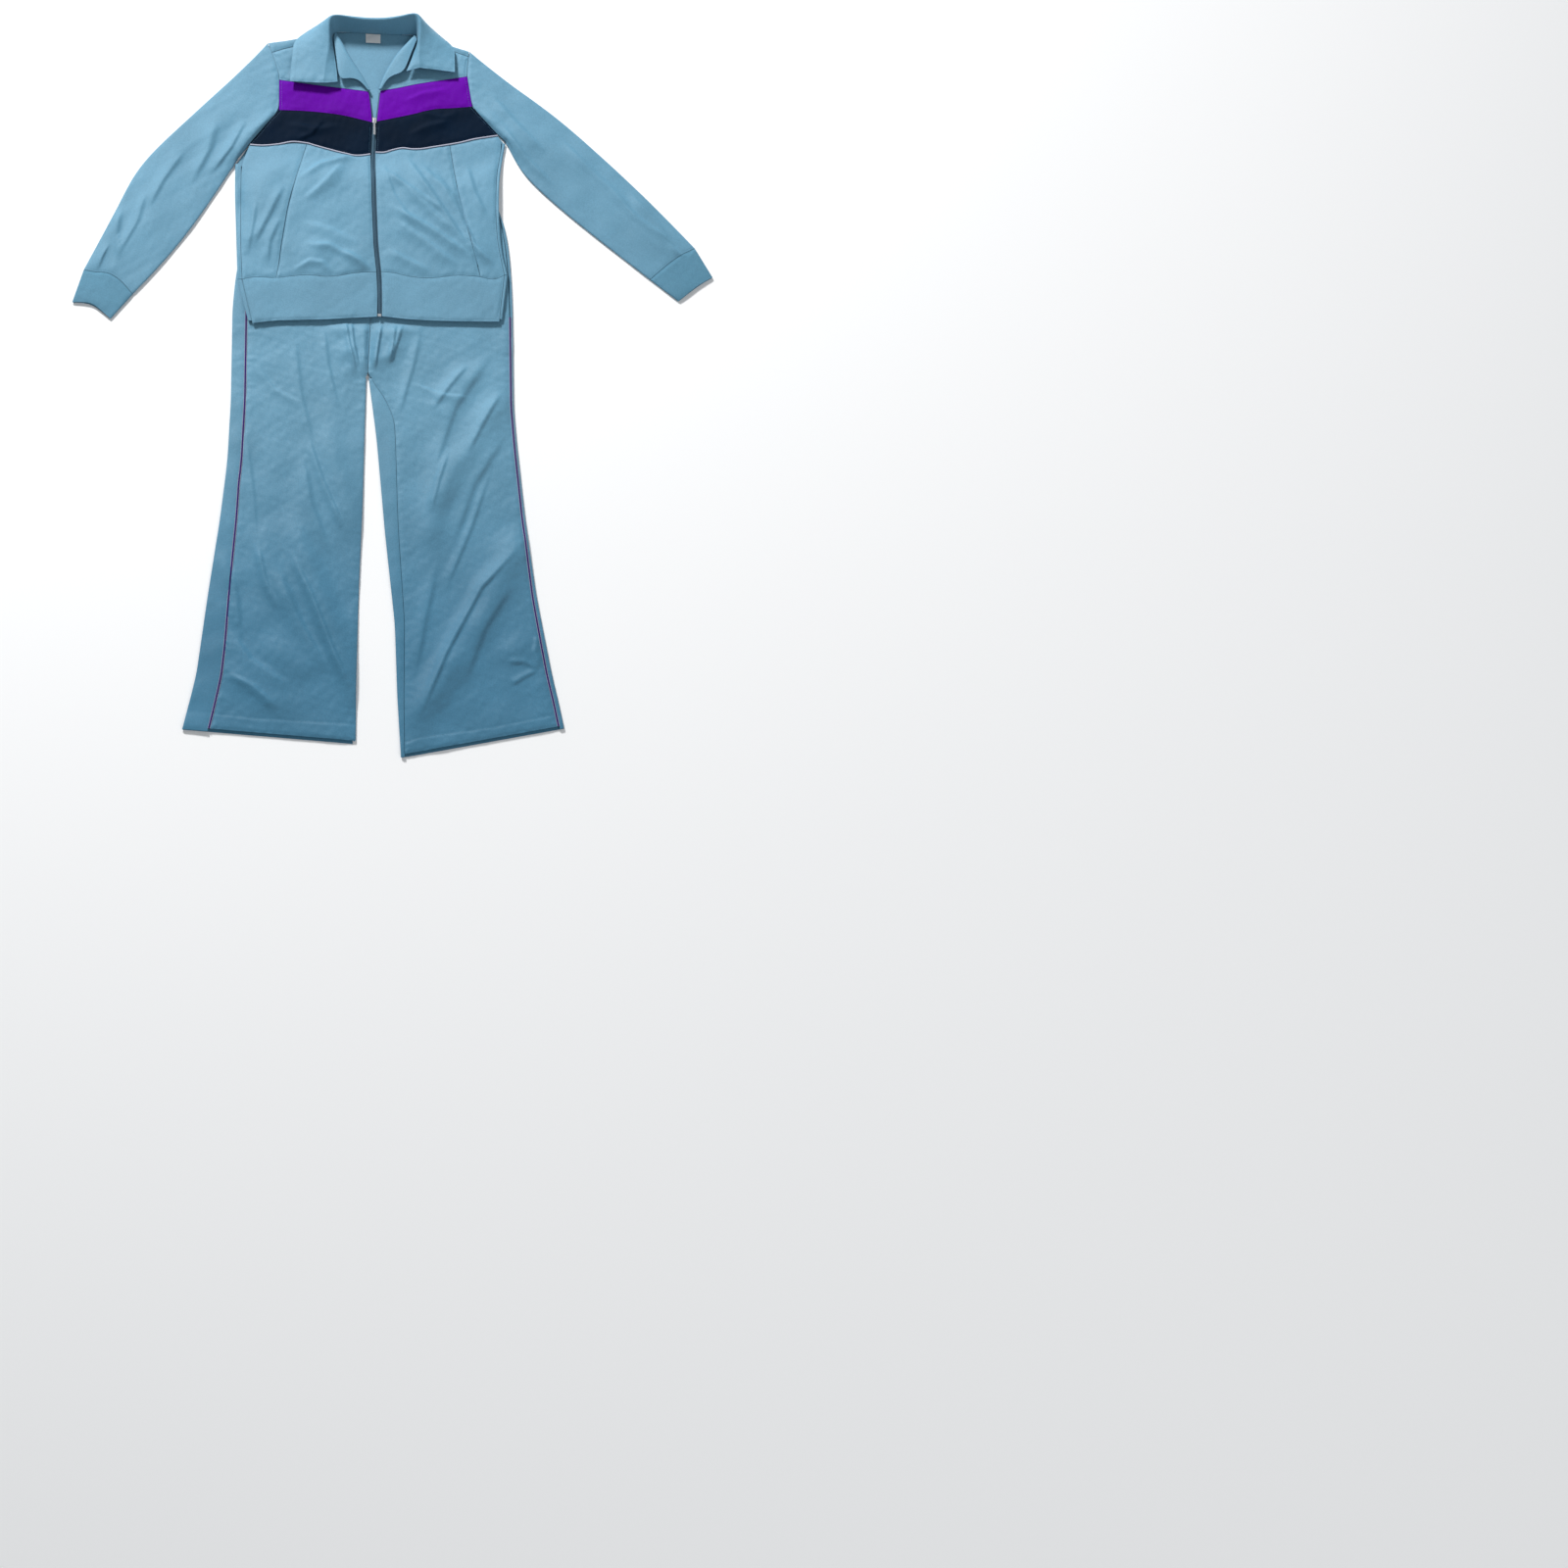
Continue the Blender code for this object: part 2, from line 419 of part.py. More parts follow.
def zip_edge(side, low, high, rows):
    """Edge of a front along the zip between two heights."""
    shift = -ZIP_OPENING if side == "right" else ZIP_OPENING
    out = []
    for r in range(rows + 1):
        y = low + (high - low) * r / rows
        out.append([across(ZIP, y) + shift, y])
    return out


def side_rows(side):
    """Heights of the rows of a lower front along its side seam, up to the armpit and above."""
    seam = RIGHT_SIDE_SEAM if side == "right" else LEFT_SIDE_SEAM
    low, armpit, top = seam[1].y, seam[-2].y, seam[-1].y
    rows = [low + (armpit - low) * r / FRONT_ROWS for r in range(FRONT_ROWS + 1)]
    return [[across(seam, y), y] for y in rows] + [[seam[-1].x, top]]


def make_front(side):
    """The pieces of one front: hem band, two lower panels, black and purple bands, yoke."""
    lines = front_lines(side)
    cut = SIDE_COLUMNS if side == "right" else CENTRE_COLUMNS
    flank = side_rows(side)
    rows = len(flank) - 1
    arm = armhole_points(side)
    first_yoke, first_purple = 1, 1 + YOKE_ROWS
    first_black = first_purple + BAND_ROWS
    black_flank = arm[first_black:first_black + BAND_ROWS + 1][::-1]
    purple_flank = arm[first_purple:first_purple + BAND_ROWS + 1][::-1]
    yoke_flank = arm[first_yoke:first_yoke + YOKE_ROWS + 1][::-1]

    def zip_side(low, high, count):
        a, b = lines[low], lines[high]
        end = -1 if side == "right" else 0
        return zip_edge(side, a[end][1], b[end][1], count)

    def panel(name, low, high, outer, inner, wall, mat, trims=(HALF_GAP, HALF_GAP)):
        low, high = [list(p) for p in low], [list(p) for p in high]
        start, end = (outer, inner) if side == "right" else (inner, outer)
        for line, r in ((low, 0), (high, -1)):
            line[0], line[-1] = list(start[r]), list(end[r])
        cloth(f"{side}_{name}", [raised(trim(coons(low, high, start, end), *trims))], wall, mat)

    pocket = POCKET_SEAM[side]
    pocket_line = [spline(pocket, r / rows) for r in range(rows + 1)]
    band_flank = spread([Point(*lines["hem"][0 if side == "right" else -1]), Point(*flank[0])], BAND_ROWS)
    panel("hem_band", lines["hem"], lines["band"], band_flank, zip_side("hem", "band", BAND_ROWS),
          DOUBLE_WALL, RIB)
    if side == "right":
        side_low, side_high = lines["band"][:cut + 1], lines["black"][:cut + 1]
        mid_low, mid_high = lines["band"][cut:], lines["black"][cut:]
    else:
        side_low, side_high = lines["band"][cut:], lines["black"][cut:]
        mid_low, mid_high = lines["band"][:cut + 1], lines["black"][:cut + 1]
    panel("front_side", side_low, side_high, flank, pocket_line, WALL, JERSEY, (HALF_GAP, PIPING_SLOT))
    panel("front_centre", mid_low, mid_high, pocket_line, zip_side("band", "black", rows), WALL, JERSEY,
          (HALF_GAP, PIPING_SLOT))
    panel("black_band", lines["black"], lines["purple"], black_flank,
          zip_side("black", "purple", BAND_ROWS), WALL, BLACK_JERSEY, (PIPING_SLOT, HALF_GAP))
    opening = [spline(OPENING[side], r / BAND_ROWS) for r in range(BAND_ROWS + 1)]
    opening[0] = zip_side("black", "purple", 1)[1]
    panel("purple_band", lines["purple"], lines["yoke"], purple_flank, opening, WALL, PURPLE_JERSEY)
    make_yoke(side, lines, yoke_flank)
    make_pocket_bag(side, pocket_line)
    make_band_piping(side, lines["black"], black_flank[0], zip_side("black", "purple", 1)[0])


def make_yoke(side, lines, flank):
    """Yoke with the front edge rolled out at the neck, so that its inner face shows."""
    rolls = NECK_ROLL[side]
    fold = [[r.fold_x, r.fold_y] for r in rolls]
    low, high = [list(p) for p in lines["yoke"]], [list(p) for p in lines["shoulder"]]
    start, end = (flank, fold) if side == "right" else (fold, flank)
    for line, r in ((low, 0), (high, -1)):
        line[0], line[-1] = list(start[r]), list(end[r])
    grid = coons(low, high, start, end)
    for row in grid:
        outer = 0 if side == "right" else -1
        row[outer][0] += HALF_GAP if side == "right" else -HALF_GAP
    for point in grid[0]:
        point[1] += HALF_GAP
    for point in grid[-1]:
        point[1] -= 2 * HALF_GAP
    rows = []
    toward = 1 if side == "right" else -1
    for r, (row, roll) in enumerate(zip(grid, rolls)):
        line = [(x, y, jacket_height(x, y)) for x, y in row]
        if side == "left":
            line.reverse()
        x, y, z = line[-1]
        radius = roll.depth / 2
        for degrees in TURN:
            out = sin(radians(degrees)) * radius
            line.append((x + toward * 0.86 * out, y + 0.50 * out, z + radius * (1 - cos(radians(degrees)))))
        top = z + roll.depth
        for share in (0.0, 0.5, 1.0):
            px, py = lerp((x, y), (roll.end_x, roll.end_y), share)
            line.append((px, py, top))
        rows.append(line)
    cloth(f"{side}_yoke", [rows], WALL, JERSEY, flip=(side == "left"))


def make_pocket_bag(side, pocket_line):
    """Pocket bag hung from its seam, flat on the back under the centre panel."""
    toward = 1 if side == "right" else -1
    grid = []
    for x, y in pocket_line[1:7]:
        line = []
        for c in range(BAG_COLUMNS + 1):
            px = x + toward * (BAG_WIDE * c / BAG_COLUMNS - BAG_PAST)
            hung = jacket_height(px, y) - WALL - BAG_UNDER
            line.append((px, y, hung if c < 1 else lift(px, y) + BAG_HEIGHT))
        grid.append(line if side == "right" else line[::-1])
    cloth(f"{side}_pocket_bag", [grid], LIGHT_WALL, JERSEY)


def cord(name, points, radius, mat, resolution=1):
    """Piping cord through points in centimetres."""
    curve = bpy.data.curves.new(name, "CURVE")
    curve.dimensions = "3D"
    curve.bevel_depth = radius * CM
    curve.bevel_resolution = resolution
    curve.use_fill_caps = True
    line = curve.splines.new("POLY")
    line.points.add(len(points) - 1)
    for target, p in zip(line.points, points):
        target.co = (p[0] * CM, p[1] * CM, p[2] * CM, 1.0)
    return adopt(bpy.data.objects.new(name, curve), mat)


def make_band_piping(side, line, outer, inner):
    """Piping set into the lower seam of the black band."""
    points = [list(p) for p in line]
    ends = (outer, inner) if side == "right" else (inner, outer)
    points[0], points[-1] = list(ends[0]), list(ends[1])
    points[0][0] += 0.25 if side == "right" else 0.05
    points[-1][0] -= 0.05 if side == "right" else 0.25
    cord(f"{side}_band_piping", [(x, y, jacket_height(x, y) - PIPING_SUNK) for x, y in points],
         PIPING_R, PIPING)


def back_row(right, left):
    """One row of the back across the plan, with closer columns where it slopes near the sides."""
    points = []
    for inset in EDGE_COLUMNS:
        points.append((right[0] + inset, right[1] + (left[1] - right[1]) * inset / (left[0] - right[0])))
    low_x, high_x = right[0] + EDGE_COLUMNS[-1], left[0] - EDGE_COLUMNS[-1]
    for share in BACK_SHARES:
        x = low_x + (high_x - low_x) * share
        points.append((x, right[1] + (left[1] - right[1]) * (x - right[0]) / (left[0] - right[0])))
    for inset in EDGE_COLUMNS[::-1]:
        points.append((left[0] - inset, left[1] - (left[1] - right[1]) * inset / (left[0] - right[0])))
    return points


def spline_y(points, x):
    """Height of a line on the plan at a place across it."""
    for a, b in zip(points, points[1:]):
        if x <= b.x:
            return a.y + (b.y - a.y) * (x - a.x) / (b.x - a.x)
    return points[-1].y


def make_back():
    """Back panel on the floor, turned up round both sides and over the shoulders."""
    right_rows, left_rows = side_rows("right")[:-1], side_rows("left")[:-1]
    base = []
    for (_, y_r), (_, y_l) in zip(right_rows, left_rows):
        row = back_row((across(RIGHT_EDGE, y_r) + EDGE_R, y_r), (across(LEFT_EDGE, y_l) - EDGE_R, y_l))
        base.append([(x, y, lift(x, y)) for x, y in row])
    base[0] = [(x, y + HALF_GAP, z) for x, y, z in base[0]]
    grids = [side_turn("right", right_rows, RIGHT_EDGE, base, 0),
             side_turn("left", left_rows, LEFT_EDGE, base, -1)]
    arm_r, arm_l = armhole_points("right"), armhole_points("left")
    for k in ARM_UNDER[1:-1]:
        row = back_row((arm_r[k][0] + SEWN, arm_r[k][1]), (arm_l[k][0] - SEWN, arm_l[k][1]))
        base.append([(x, y, lift(x, y)) for x, y in row])
    top = back_row((BACK_TOP[0].x + SEWN, 0.0), (BACK_TOP[-1].x - SEWN, 0.0))
    base.append([(x, spline_y(BACK_TOP, x) - EDGE_R, 0.0) for x, _ in top])
    grids.append(base)
    grids.append(shoulder_turn("right", base[-1][:NECK_COLUMN + 1]))
    grids.append(shoulder_turn("left", base[-1][-NECK_COLUMN - 1:]))
    cloth("jacket_back", grids, WALL, JERSEY, flip=True)


def side_turn(side, rows, edge, base, column):
    """Grid from the bottom of a side, round its edge and in to the side seam on top."""
    away = -1 if side == "right" else 1
    grid = []
    for r, (seam_x, _) in enumerate(rows):
        x0, y0, z0 = base[r][column]
        top = jacket_height(x0, y0)
        line = [(x0, y0, z0)]
        for degrees in TURN:
            angle = radians(degrees)
            line.append((x0 + away * sin(angle) * EDGE_R, y0, z0 + (top - z0) / 2 * (1 - cos(angle))))
        line.append((x0, y0, top))
        end = seam_x + away * HALF_GAP
        line.append((end, y0, jacket_height(end, y0)))
        grid.append(line[::-1] if side == "right" else line)
    return grid


def shoulder_turn(side, base_row):
    """One shoulder: from the floor over its edge to the shoulder seam on the front."""
    seam = SHOULDER_SEAM[side]
    low_x = seam[0].x + (SEWN if side == "right" else 0.0)
    high_x = seam[1].x - (SEWN if side == "left" else 0.0)
    rows = [list(base_row)]
    for degrees in TURN + [180]:
        angle = radians(degrees)
        row = []
        for x, y, z in base_row:
            top = jacket_height(x, y)
            row.append((x, y + sin(angle) * EDGE_R, z + (top - z) / 2 * (1 - cos(angle))))
        rows.append(row)
    front = []
    for x, _, _ in base_row:
        share = (x - base_row[0][0]) / (base_row[-1][0] - base_row[0][0])
        sx = low_x + (high_x - low_x) * share
        sy = seam[0].y + (seam[1].y - seam[0].y) * (sx - seam[0].x) / (seam[1].x - seam[0].x)
        front.append((sx, sy + HALF_GAP, jacket_height(sx, sy)))
    rows.append(front)
    return rows


def make_back_band():
    """Back of the hem band with its turned sides."""
    rows_r = spread(BACK_BAND_SIDE["right"], BAND_ROWS)
    rows_l = spread(BACK_BAND_SIDE["left"], BAND_ROWS)
    base = []
    for right, left in zip(rows_r, rows_l):
        row = back_row((across(RIGHT_EDGE, right[1]) + EDGE_R, right[1]),
                       (across(LEFT_EDGE, left[1]) - EDGE_R, left[1]))
        base.append([(x, y, lift(x, y)) for x, y in row])
    base[-1] = [(x, y - BAND_GAP, z) for x, y, z in base[-1]]
    grids = [base, side_turn("right", rows_r, RIGHT_EDGE, base, 0),
             side_turn("left", rows_l, LEFT_EDGE, base, -1)]
    cloth("back_hem_band", grids, DOUBLE_WALL, RIB, flip=True)


def tube_row(top, heights, under, first_out, last_out, last_bulge=1.0):
    """Ring round a flattened tube: upper points, one edge, underside, the other edge."""
    def turn(edge, out, height, bulge):
        points = []
        for degrees in TURN:
            reach = EDGE_R * sin(radians(degrees)) * bulge
            z = height / 2 * (1 + cos(radians(degrees)))
            points.append((edge[0] + out[0] * reach, edge[1] + out[1] * reach, z))
        return points

    ring = [(p[0], p[1], z) for p, z in zip(top, heights)]
    ring += turn(top[-1], last_out, heights[-1], last_bulge)
    ring += [(top[k][0], top[k][1], 0.0) for k in under]
    ring += turn(top[0], first_out, heights[0], 1.0)[::-1]
    return ring


def unit(a, b):
    run = hypot(b[0] - a[0], b[1] - a[1])
    return ((b[0] - a[0]) / run, (b[1] - a[1]) / run)


def sleeve_edge_out(line, t, reference):
    """Direction square to a sleeve's silhouette, on the side of a reference direction."""
    along = unit(spline(line, max(t - 0.02, 0.0)), spline(line, min(t + 0.02, 1.0)))
    out = (-along[1], along[0])
    if out[0] * reference[0] + out[1] * reference[1] < 0:
        out = (along[1], -along[0])
    return out


def inset(share, width):
    """Share of a section measured between its two ends drawn in by the edge radius."""
    return (EDGE_R + share * (width - 2 * EDGE_R)) / width


def section(line, shares):
    """Points along a section of a sleeve, clear of the turn at its two ends."""
    width = sum(hypot(b[0] - a[0], b[1] - a[1]) for a, b in zip(line, line[1:]))
    return [spline(line, inset(s, width)) for s in shares]


def make_sleeve(side):
    """Sleeve from the armhole to its cuff, and the cuff."""
    arm = armhole_points(side)
    away = -1 if side == "right" else 1
    outer_line, inner_line = SLEEVE_OUTER[side], SLEEVE_INNER[side]
    steps = [0.0]
    for a, b in zip(arm, arm[1:]):
        steps.append(steps[-1] + hypot(b[0] - a[0], b[1] - a[1]))
    shares = [s / steps[-1] for s in steps]
    seam = section(CUFF_SEAM[side], shares)
    first = section([outer_line[0], inner_line[0]], shares)
    last = section([outer_line[-1], inner_line[-1]], shares)
    rows = []
    for t in SLEEVE_ROWS:
        straight = section([spline(outer_line, t), spline(inner_line, t ** 1.6)], shares)
        far = smooth((t - 0.75) / 0.25)
        top = []
        for k, share in enumerate(shares):
            near = 1 - smooth(t / (0.35 - 0.28 * smooth((share - 0.45) / 0.5)))
            bow_x = near * (arm[k][0] - first[k][0]) + far * (seam[k][0] - last[k][0])
            bow_y = near * (arm[k][1] - first[k][1]) + far * (seam[k][1] - last[k][1])
            top.append([straight[k][0] + bow_x, straight[k][1] + bow_y])
        across_row = unit(inner_line[2], outer_line[2])
        outer_out = sleeve_edge_out(outer_line, t, across_row)
        inner_out = sleeve_edge_out(inner_line, t ** 1.6, (-across_row[0], -across_row[1]))
        bulge = 1.0
        if t == 0.0:
            top = [[p[0] + away * SEWN, p[1]] for p in arm]
            top[0][0] += away * 0.08
            top[-1] = [top[-1][0] + away * (EDGE_R + 0.08), top[-1][1] + 0.38]
            outer_out = (0.0, 1.0)
            bulge = 0.0
        if t == 1.0:
            outer_out, inner_out = unit(top[1], top[0]), unit(top[-2], top[-1])
        rows.append(tube_row(top, sleeve_heights(side, top, shares, t, arm), ARM_UNDER,
                             outer_out, inner_out, bulge))
    cloth(f"{side}_sleeve", [rows], WALL, JERSEY, flip=(side == "right"), closed=True)
    make_cuff(side, shares)


def sleeve_heights(side, top, shares, t, arm):
    """Upper face of a sleeve: level with the body at the armhole, bulging at the armpit."""
    heights = []
    width = hypot(top[-1][0] - top[0][0], top[-1][1] - top[0][1])
    for k, share in enumerate(shares):
        own = LAYERED + crown(min(share, 1 - share) * width)
        if k not in (0, len(shares) - 1):
            own += fold_height(SLEEVE_FOLDS, *top[k])
            inner = smooth((share - 0.45) / 0.2) * smooth(t / 0.06)
            own += ARMPIT_BULGE * inner * (1 - smooth((t - 0.1) / 0.25))
        body = jacket_height(*arm[k])
        heights.append(body + (own - body) * smooth(t / 0.06))
    return heights


def make_cuff(side, shares):
    """Doubled cuff that narrows to the wrist, its columns in line with the sleeve's."""
    seam, end = section(CUFF_SEAM[side], shares), section(CUFF_END[side], shares)
    rows = []
    for t in (0.012, 0.12, 0.55, 1.0):
        top = [lerp(a, b, t) for a, b in zip(seam, end)]
        heights = [LAYERED + 0.10 * sin(pi * share) for share in shares]
        rows.append(tube_row(top, heights, ARM_UNDER, unit(top[1], top[0]), unit(top[-2], top[-1])))
    cloth(f"{side}_cuff", [rows], DOUBLE_WALL, RIB_DEEP, flip=(side == "right"), closed=True)


def make_collar():
    """Fold-down collar: it stands at the back of the neck and lies out over the fronts."""
    rows = []
    for neck, crest, edge in COLLAR:
        out = unit(neck, edge)
        inner = (crest[0] - out[0] * CREST_R, crest[1] - out[1] * CREST_R, crest[2] - CREST_DROP)
        outer = (crest[0] + out[0] * CREST_R, crest[1] + out[1] * CREST_R, crest[2] - CREST_DROP)
        line = [neck, tuple(lerp(neck, inner, 0.55)), inner, crest, outer]
        for share in (0.3, 0.65, 1.0):
            line.append(tuple(lerp(outer, edge, share)))
        rows.append(line)
    cloth("collar", [rows], COLLAR_WALL, JERSEY, flip=True)


def trouser_height(x, y, outer, inner):
    rise = crown(min(abs(x - outer), abs(inner - x) if y < CROTCH_Y else 9.0) - EDGE_R)
    return LAYERED + rise + fold_height(TROUSER_FOLDS, x, y) * (1 - smooth((y - 8.6) / 1.3))


def leg_row(side, level):
    """One row of a leg: its outer and inner ends on the plan, slanting towards the hem."""
    outer_line, inner_line = LEG_OUTER[side], LEG_INNER[side]
    hem = LEG_ROWS[-1]
    if level >= STRAIGHT_TO:
        outer_y = inner_y = level
    else:
        share = (STRAIGHT_TO - level) / (STRAIGHT_TO - hem)
        outer_y = STRAIGHT_TO + share * (outer_line[0].y - STRAIGHT_TO)
        inner_y = STRAIGHT_TO + share * (inner_line[0].y - STRAIGHT_TO)
    if inner_y > CROTCH_Y:
        inner_x = across(CENTRE_SEAM, inner_y)
    else:
        inner_x = across(inner_line, inner_y)
    return (across(outer_line, outer_y), outer_y), (inner_x, inner_y)


def make_leg(side):
    """Front and back panel of one leg, from the waist to the hem."""
    away = -1 if side == "right" else 1
    fronts, front_edge, backs, outer_edge, inner_edge, piping = [], [], [], [], [], []
    for level in LEG_ROWS:
        outer, inner = leg_row(side, level)
        parted = inner[1] < CROTCH_Y
        width = abs(inner[0] - outer[0])
        seam_share = across(SIDE_SEAM_IN[side], outer[1]) / width
        edge_share, gap_share, slot_share = EDGE_R / width, HALF_GAP / width, PIPING_SLOT / width
        inseam_in = across(INSEAM_IN, inner[1]) if side == "left" else EDGE_R
        stop_share = 1 - inseam_in / width if parted else 1 - gap_share

        def on_top(share):
            x, y = lerp(outer, inner, share)
            return (x, y, trouser_height(x, y, outer[0], inner[0]))

        def round_edge(share, way):
            x, y, top = on_top(share)
            points = []
            for degrees in TURN:
                angle = radians(degrees)
                points.append((x + way * EDGE_R * sin(angle), y, top / 2 * (1 - cos(angle))))
            return (x, y, 0.0), points, (x, y, top)

        first, last = seam_share + slot_share, stop_share
        if parted and side == "left":
            last -= gap_share
        crowded = smooth((level + 12.0) / 14.0)
        front = []
        for c in range(FRONT_LEG_COLUMNS + 1):
            even = c / FRONT_LEG_COLUMNS
            s = even + (1 - (1 - even) ** 1.7 - even) * crowded
            front.append(on_top(first + s * (last - first)))
        fronts.append(front)
        under = []
        stop = 1 - (edge_share if parted else gap_share)
        for c in range(BACK_LEG_COLUMNS + 1):
            x, y = lerp(outer, inner, edge_share + (stop - edge_share) * c / BACK_LEG_COLUMNS)
            under.append((x, y, 0.0))
        backs.append(under)
        low, curve, high = round_edge(edge_share, away)
        outer_edge.append([on_top(seam_share - slot_share), high] + curve[::-1] + [low])
        if parted:
            low, curve, high = round_edge(1 - edge_share, -away)
            if side == "left":
                inner_edge.append([low] + curve + [high, on_top(stop_share + gap_share)])
            else:
                front_edge.append([high] + curve[::-1] + [(low[0] - 2 * HALF_GAP, low[1], low[2])])
                backs[-1][-1] = (low[0] - 8 * HALF_GAP, low[1], 0.0)
        piping.append(on_top(seam_share))
    for grid in (backs, outer_edge, inner_edge):
        if grid:
            lengthen(grid, BACK_HEM_DROP)
    for grid in (fronts, backs, outer_edge):
        grid[0] = [(x, y - HALF_GAP, z) for x, y, z in grid[0]]
    flip = side == "right"
    cloth(f"{side}_leg_front", [g for g in (fronts, front_edge) if g], WALL, JERSEY_LEG, flip=flip)
    cloth(f"{side}_leg_back", [g for g in (backs, outer_edge, inner_edge) if g], WALL, JERSEY_LEG,
          flip=not flip)
    cord(f"{side}_leg_piping", [(x, y, z - PIPING_SUNK) for x, y, z in piping[3:]], PIPING_R, PURPLE_PIPING)


def lengthen(grid, more):
    """Carry the last row of a grid on along its columns."""
    out = []
    for before, last in zip(grid[-2], grid[-1]):
        run = hypot(last[0] - before[0], last[1] - before[1])
        out.append(tuple(q + (q - p) * more / run for p, q in zip(before, last)))
    grid[-1] = out


def make_waistband():
    """Plain elastic waistband, hidden under the jacket."""
    rows = []
    columns = 12
    for y, squeeze in ((WAIST_Y + HALF_GAP, 0.0), (WAIST_Y + 1.8, 0.25), (WAIST_TOP_Y, 0.45)):
        a = (LEG_OUTER["right"][-1].x + EDGE_R + squeeze, y)
        b = (LEG_OUTER["left"][-1].x - EDGE_R - squeeze, y)
        top = [lerp(a, b, c / columns) for c in range(columns + 1)]
        heights = [LAYERED + crown(min(c, columns - c) * 3.6) for c in range(columns + 1)]
        rows.append(tube_row(top, heights, [12, 8, 4, 0], (-1.0, 0.0), (1.0, 0.0)))
    cloth("waistband", [rows], DOUBLE_WALL, RIB, closed=True)


def box(name, centre, size, mat, bevel=0.0):
    """Block with soft edges, its size and centre in centimetres."""
    bpy.ops.mesh.primitive_cube_add(size=1.0, location=[c * CM for c in centre])
    obj = bpy.context.object
    obj.name = name
    obj.scale = [s * CM for s in size]
    bpy.ops.object.transform_apply(location=False, rotation=False, scale=True)
    for collection in list(obj.users_collection):
        collection.objects.unlink(obj)
    if bevel:
        soft = obj.modifiers.new("soft", "BEVEL")
        soft.width = bevel * CM
        soft.segments = 2
    return adopt(obj, mat)


def make_zip():
    """Zip tapes, closed coil, slider, pull tab and bottom box."""
    low, high = ZIP[0].y, SLIDER_Y - 0.75
    rows = ZIP_ROWS
    for side, away in (("right", -1), ("left", 1)):
        grid = []
        for r in range(rows + 1):
            y = low + 0.1 + (high - low) * r / rows
            x = across(ZIP, y)
            z = jacket_height(x, y) - WALL - 2 * HALF_GAP
            pair = [(x + away * (ZIP_OPENING + 0.25), y, z - 0.1), (x + away * 0.05, y, z - 0.1)]
            grid.append(pair if side == "right" else pair[::-1])
        for share in (0.25, 0.5, 0.75, 1.0):
            x, y = spline(OPENING[side], share)
            z = jacket_height(x, y) - WALL - 2 * HALF_GAP
            pair = [(x + away * 0.30, y - 0.3, z - 0.1), (x - away * 0.22, y - 0.3, z - 0.1)]
            grid.append(pair if side == "right" else pair[::-1])
        cloth(f"{side}_zip_tape", [grid], LIGHT_WALL, TAPE_CLOTH)
    coil = []
    for r in range(rows + 1):
        y = low + 0.55 + (high - low - 0.5) * r / rows
        x = across(ZIP, y)
        z = jacket_height(x, y) - WALL - 0.1 + COIL_R
        coil.append((x, y, z))
    cord("zip_coil", coil, COIL_R, COIL, resolution=2)
    make_slider()


def make_slider():
    """Slider body, its bridge, the stop at the hem and the pull tab."""
    y = SLIDER_Y
    base = jacket_height(SLIDER_X, y)
    body_z = base + 0.07
    box("zip_slider", (SLIDER_X, y, body_z), SLIDER_SIZE, METAL, bevel=0.06)
    bridge_z = body_z + SLIDER_SIZE[2] / 2 + 2 * HALF_GAP + BRIDGE_SIZE[2] / 2
    box("zip_bridge", (SLIDER_X, y - 0.10, bridge_z), BRIDGE_SIZE, METAL, bevel=0.05)
    box("zip_stop", (across(ZIP, ZIP[0].y), ZIP[0].y + 0.25, jacket_height(0.8, 11.3) - 0.03),
        STOP_SIZE, METAL, bevel=0.05)
    make_pull((SLIDER_X, y - 0.10 - BRIDGE_SIZE[1] / 2 - 0.14, bridge_z + 0.12))


def make_pull(axis):
    """Pull tab hinged across the slider, lying towards the hem."""
    bpy.ops.mesh.primitive_cube_add(size=1.0)
    obj = bpy.context.object
    obj.name = "zip_pull"
    for vert in obj.data.vertices:
        end = vert.co.y < 0
        wide = PULL_WIDE if end else PULL_WIDE * 0.75
        vert.co.x *= wide * CM
        vert.co.y = (-PULL_LONG if end else 0.10) * CM
        vert.co.z = (vert.co.z * PULL_THICK - (PULL_DROP if end else 0.0)) * CM
    obj.location = [c * CM for c in axis]
    for collection in list(obj.users_collection):
        collection.objects.unlink(obj)
    soft = obj.modifiers.new("soft", "BEVEL")
    soft.width = 0.03 * CM
    soft.segments = 2
    adopt(obj, METAL)


def make_label():
    """Blank woven label hanging inside the back neck."""
    grid = []
    for y, z in LABEL_ROWS:
        grid.append([(x, y, z) for x in LABEL_COLUMNS])
    cloth("neck_label", [grid], LIGHT_WALL, LABEL)


def centre_on_origin():
    """Put the middle of the whole suit's box over the origin, with its underside at zero."""
    bpy.context.view_layer.update()
    depsgraph = bpy.context.evaluated_depsgraph_get()
    low, high = Vector((9.0, 9.0, 9.0)), Vector((-9.0, -9.0, -9.0))
    for obj in PARTS.objects:
        if obj.type == "EMPTY":
            continue
        shape = obj.evaluated_get(depsgraph)
        for vert in shape.to_mesh().vertices:
            place = obj.matrix_world @ vert.co
            low = Vector(map(min, low, place))
            high = Vector(map(max, high, place))
        shape.to_mesh_clear()
    ROOT.location = (-(low.x + high.x) / 2, -(low.y + high.y) / 2, -low.z)


def make_tracksuit():
    make_back()
    make_back_band()
    for side in ("right", "left"):
        make_front(side)
        make_sleeve(side)
        make_leg(side)
    make_collar()
    make_waistband()
    make_zip()
    make_label()
    centre_on_origin()


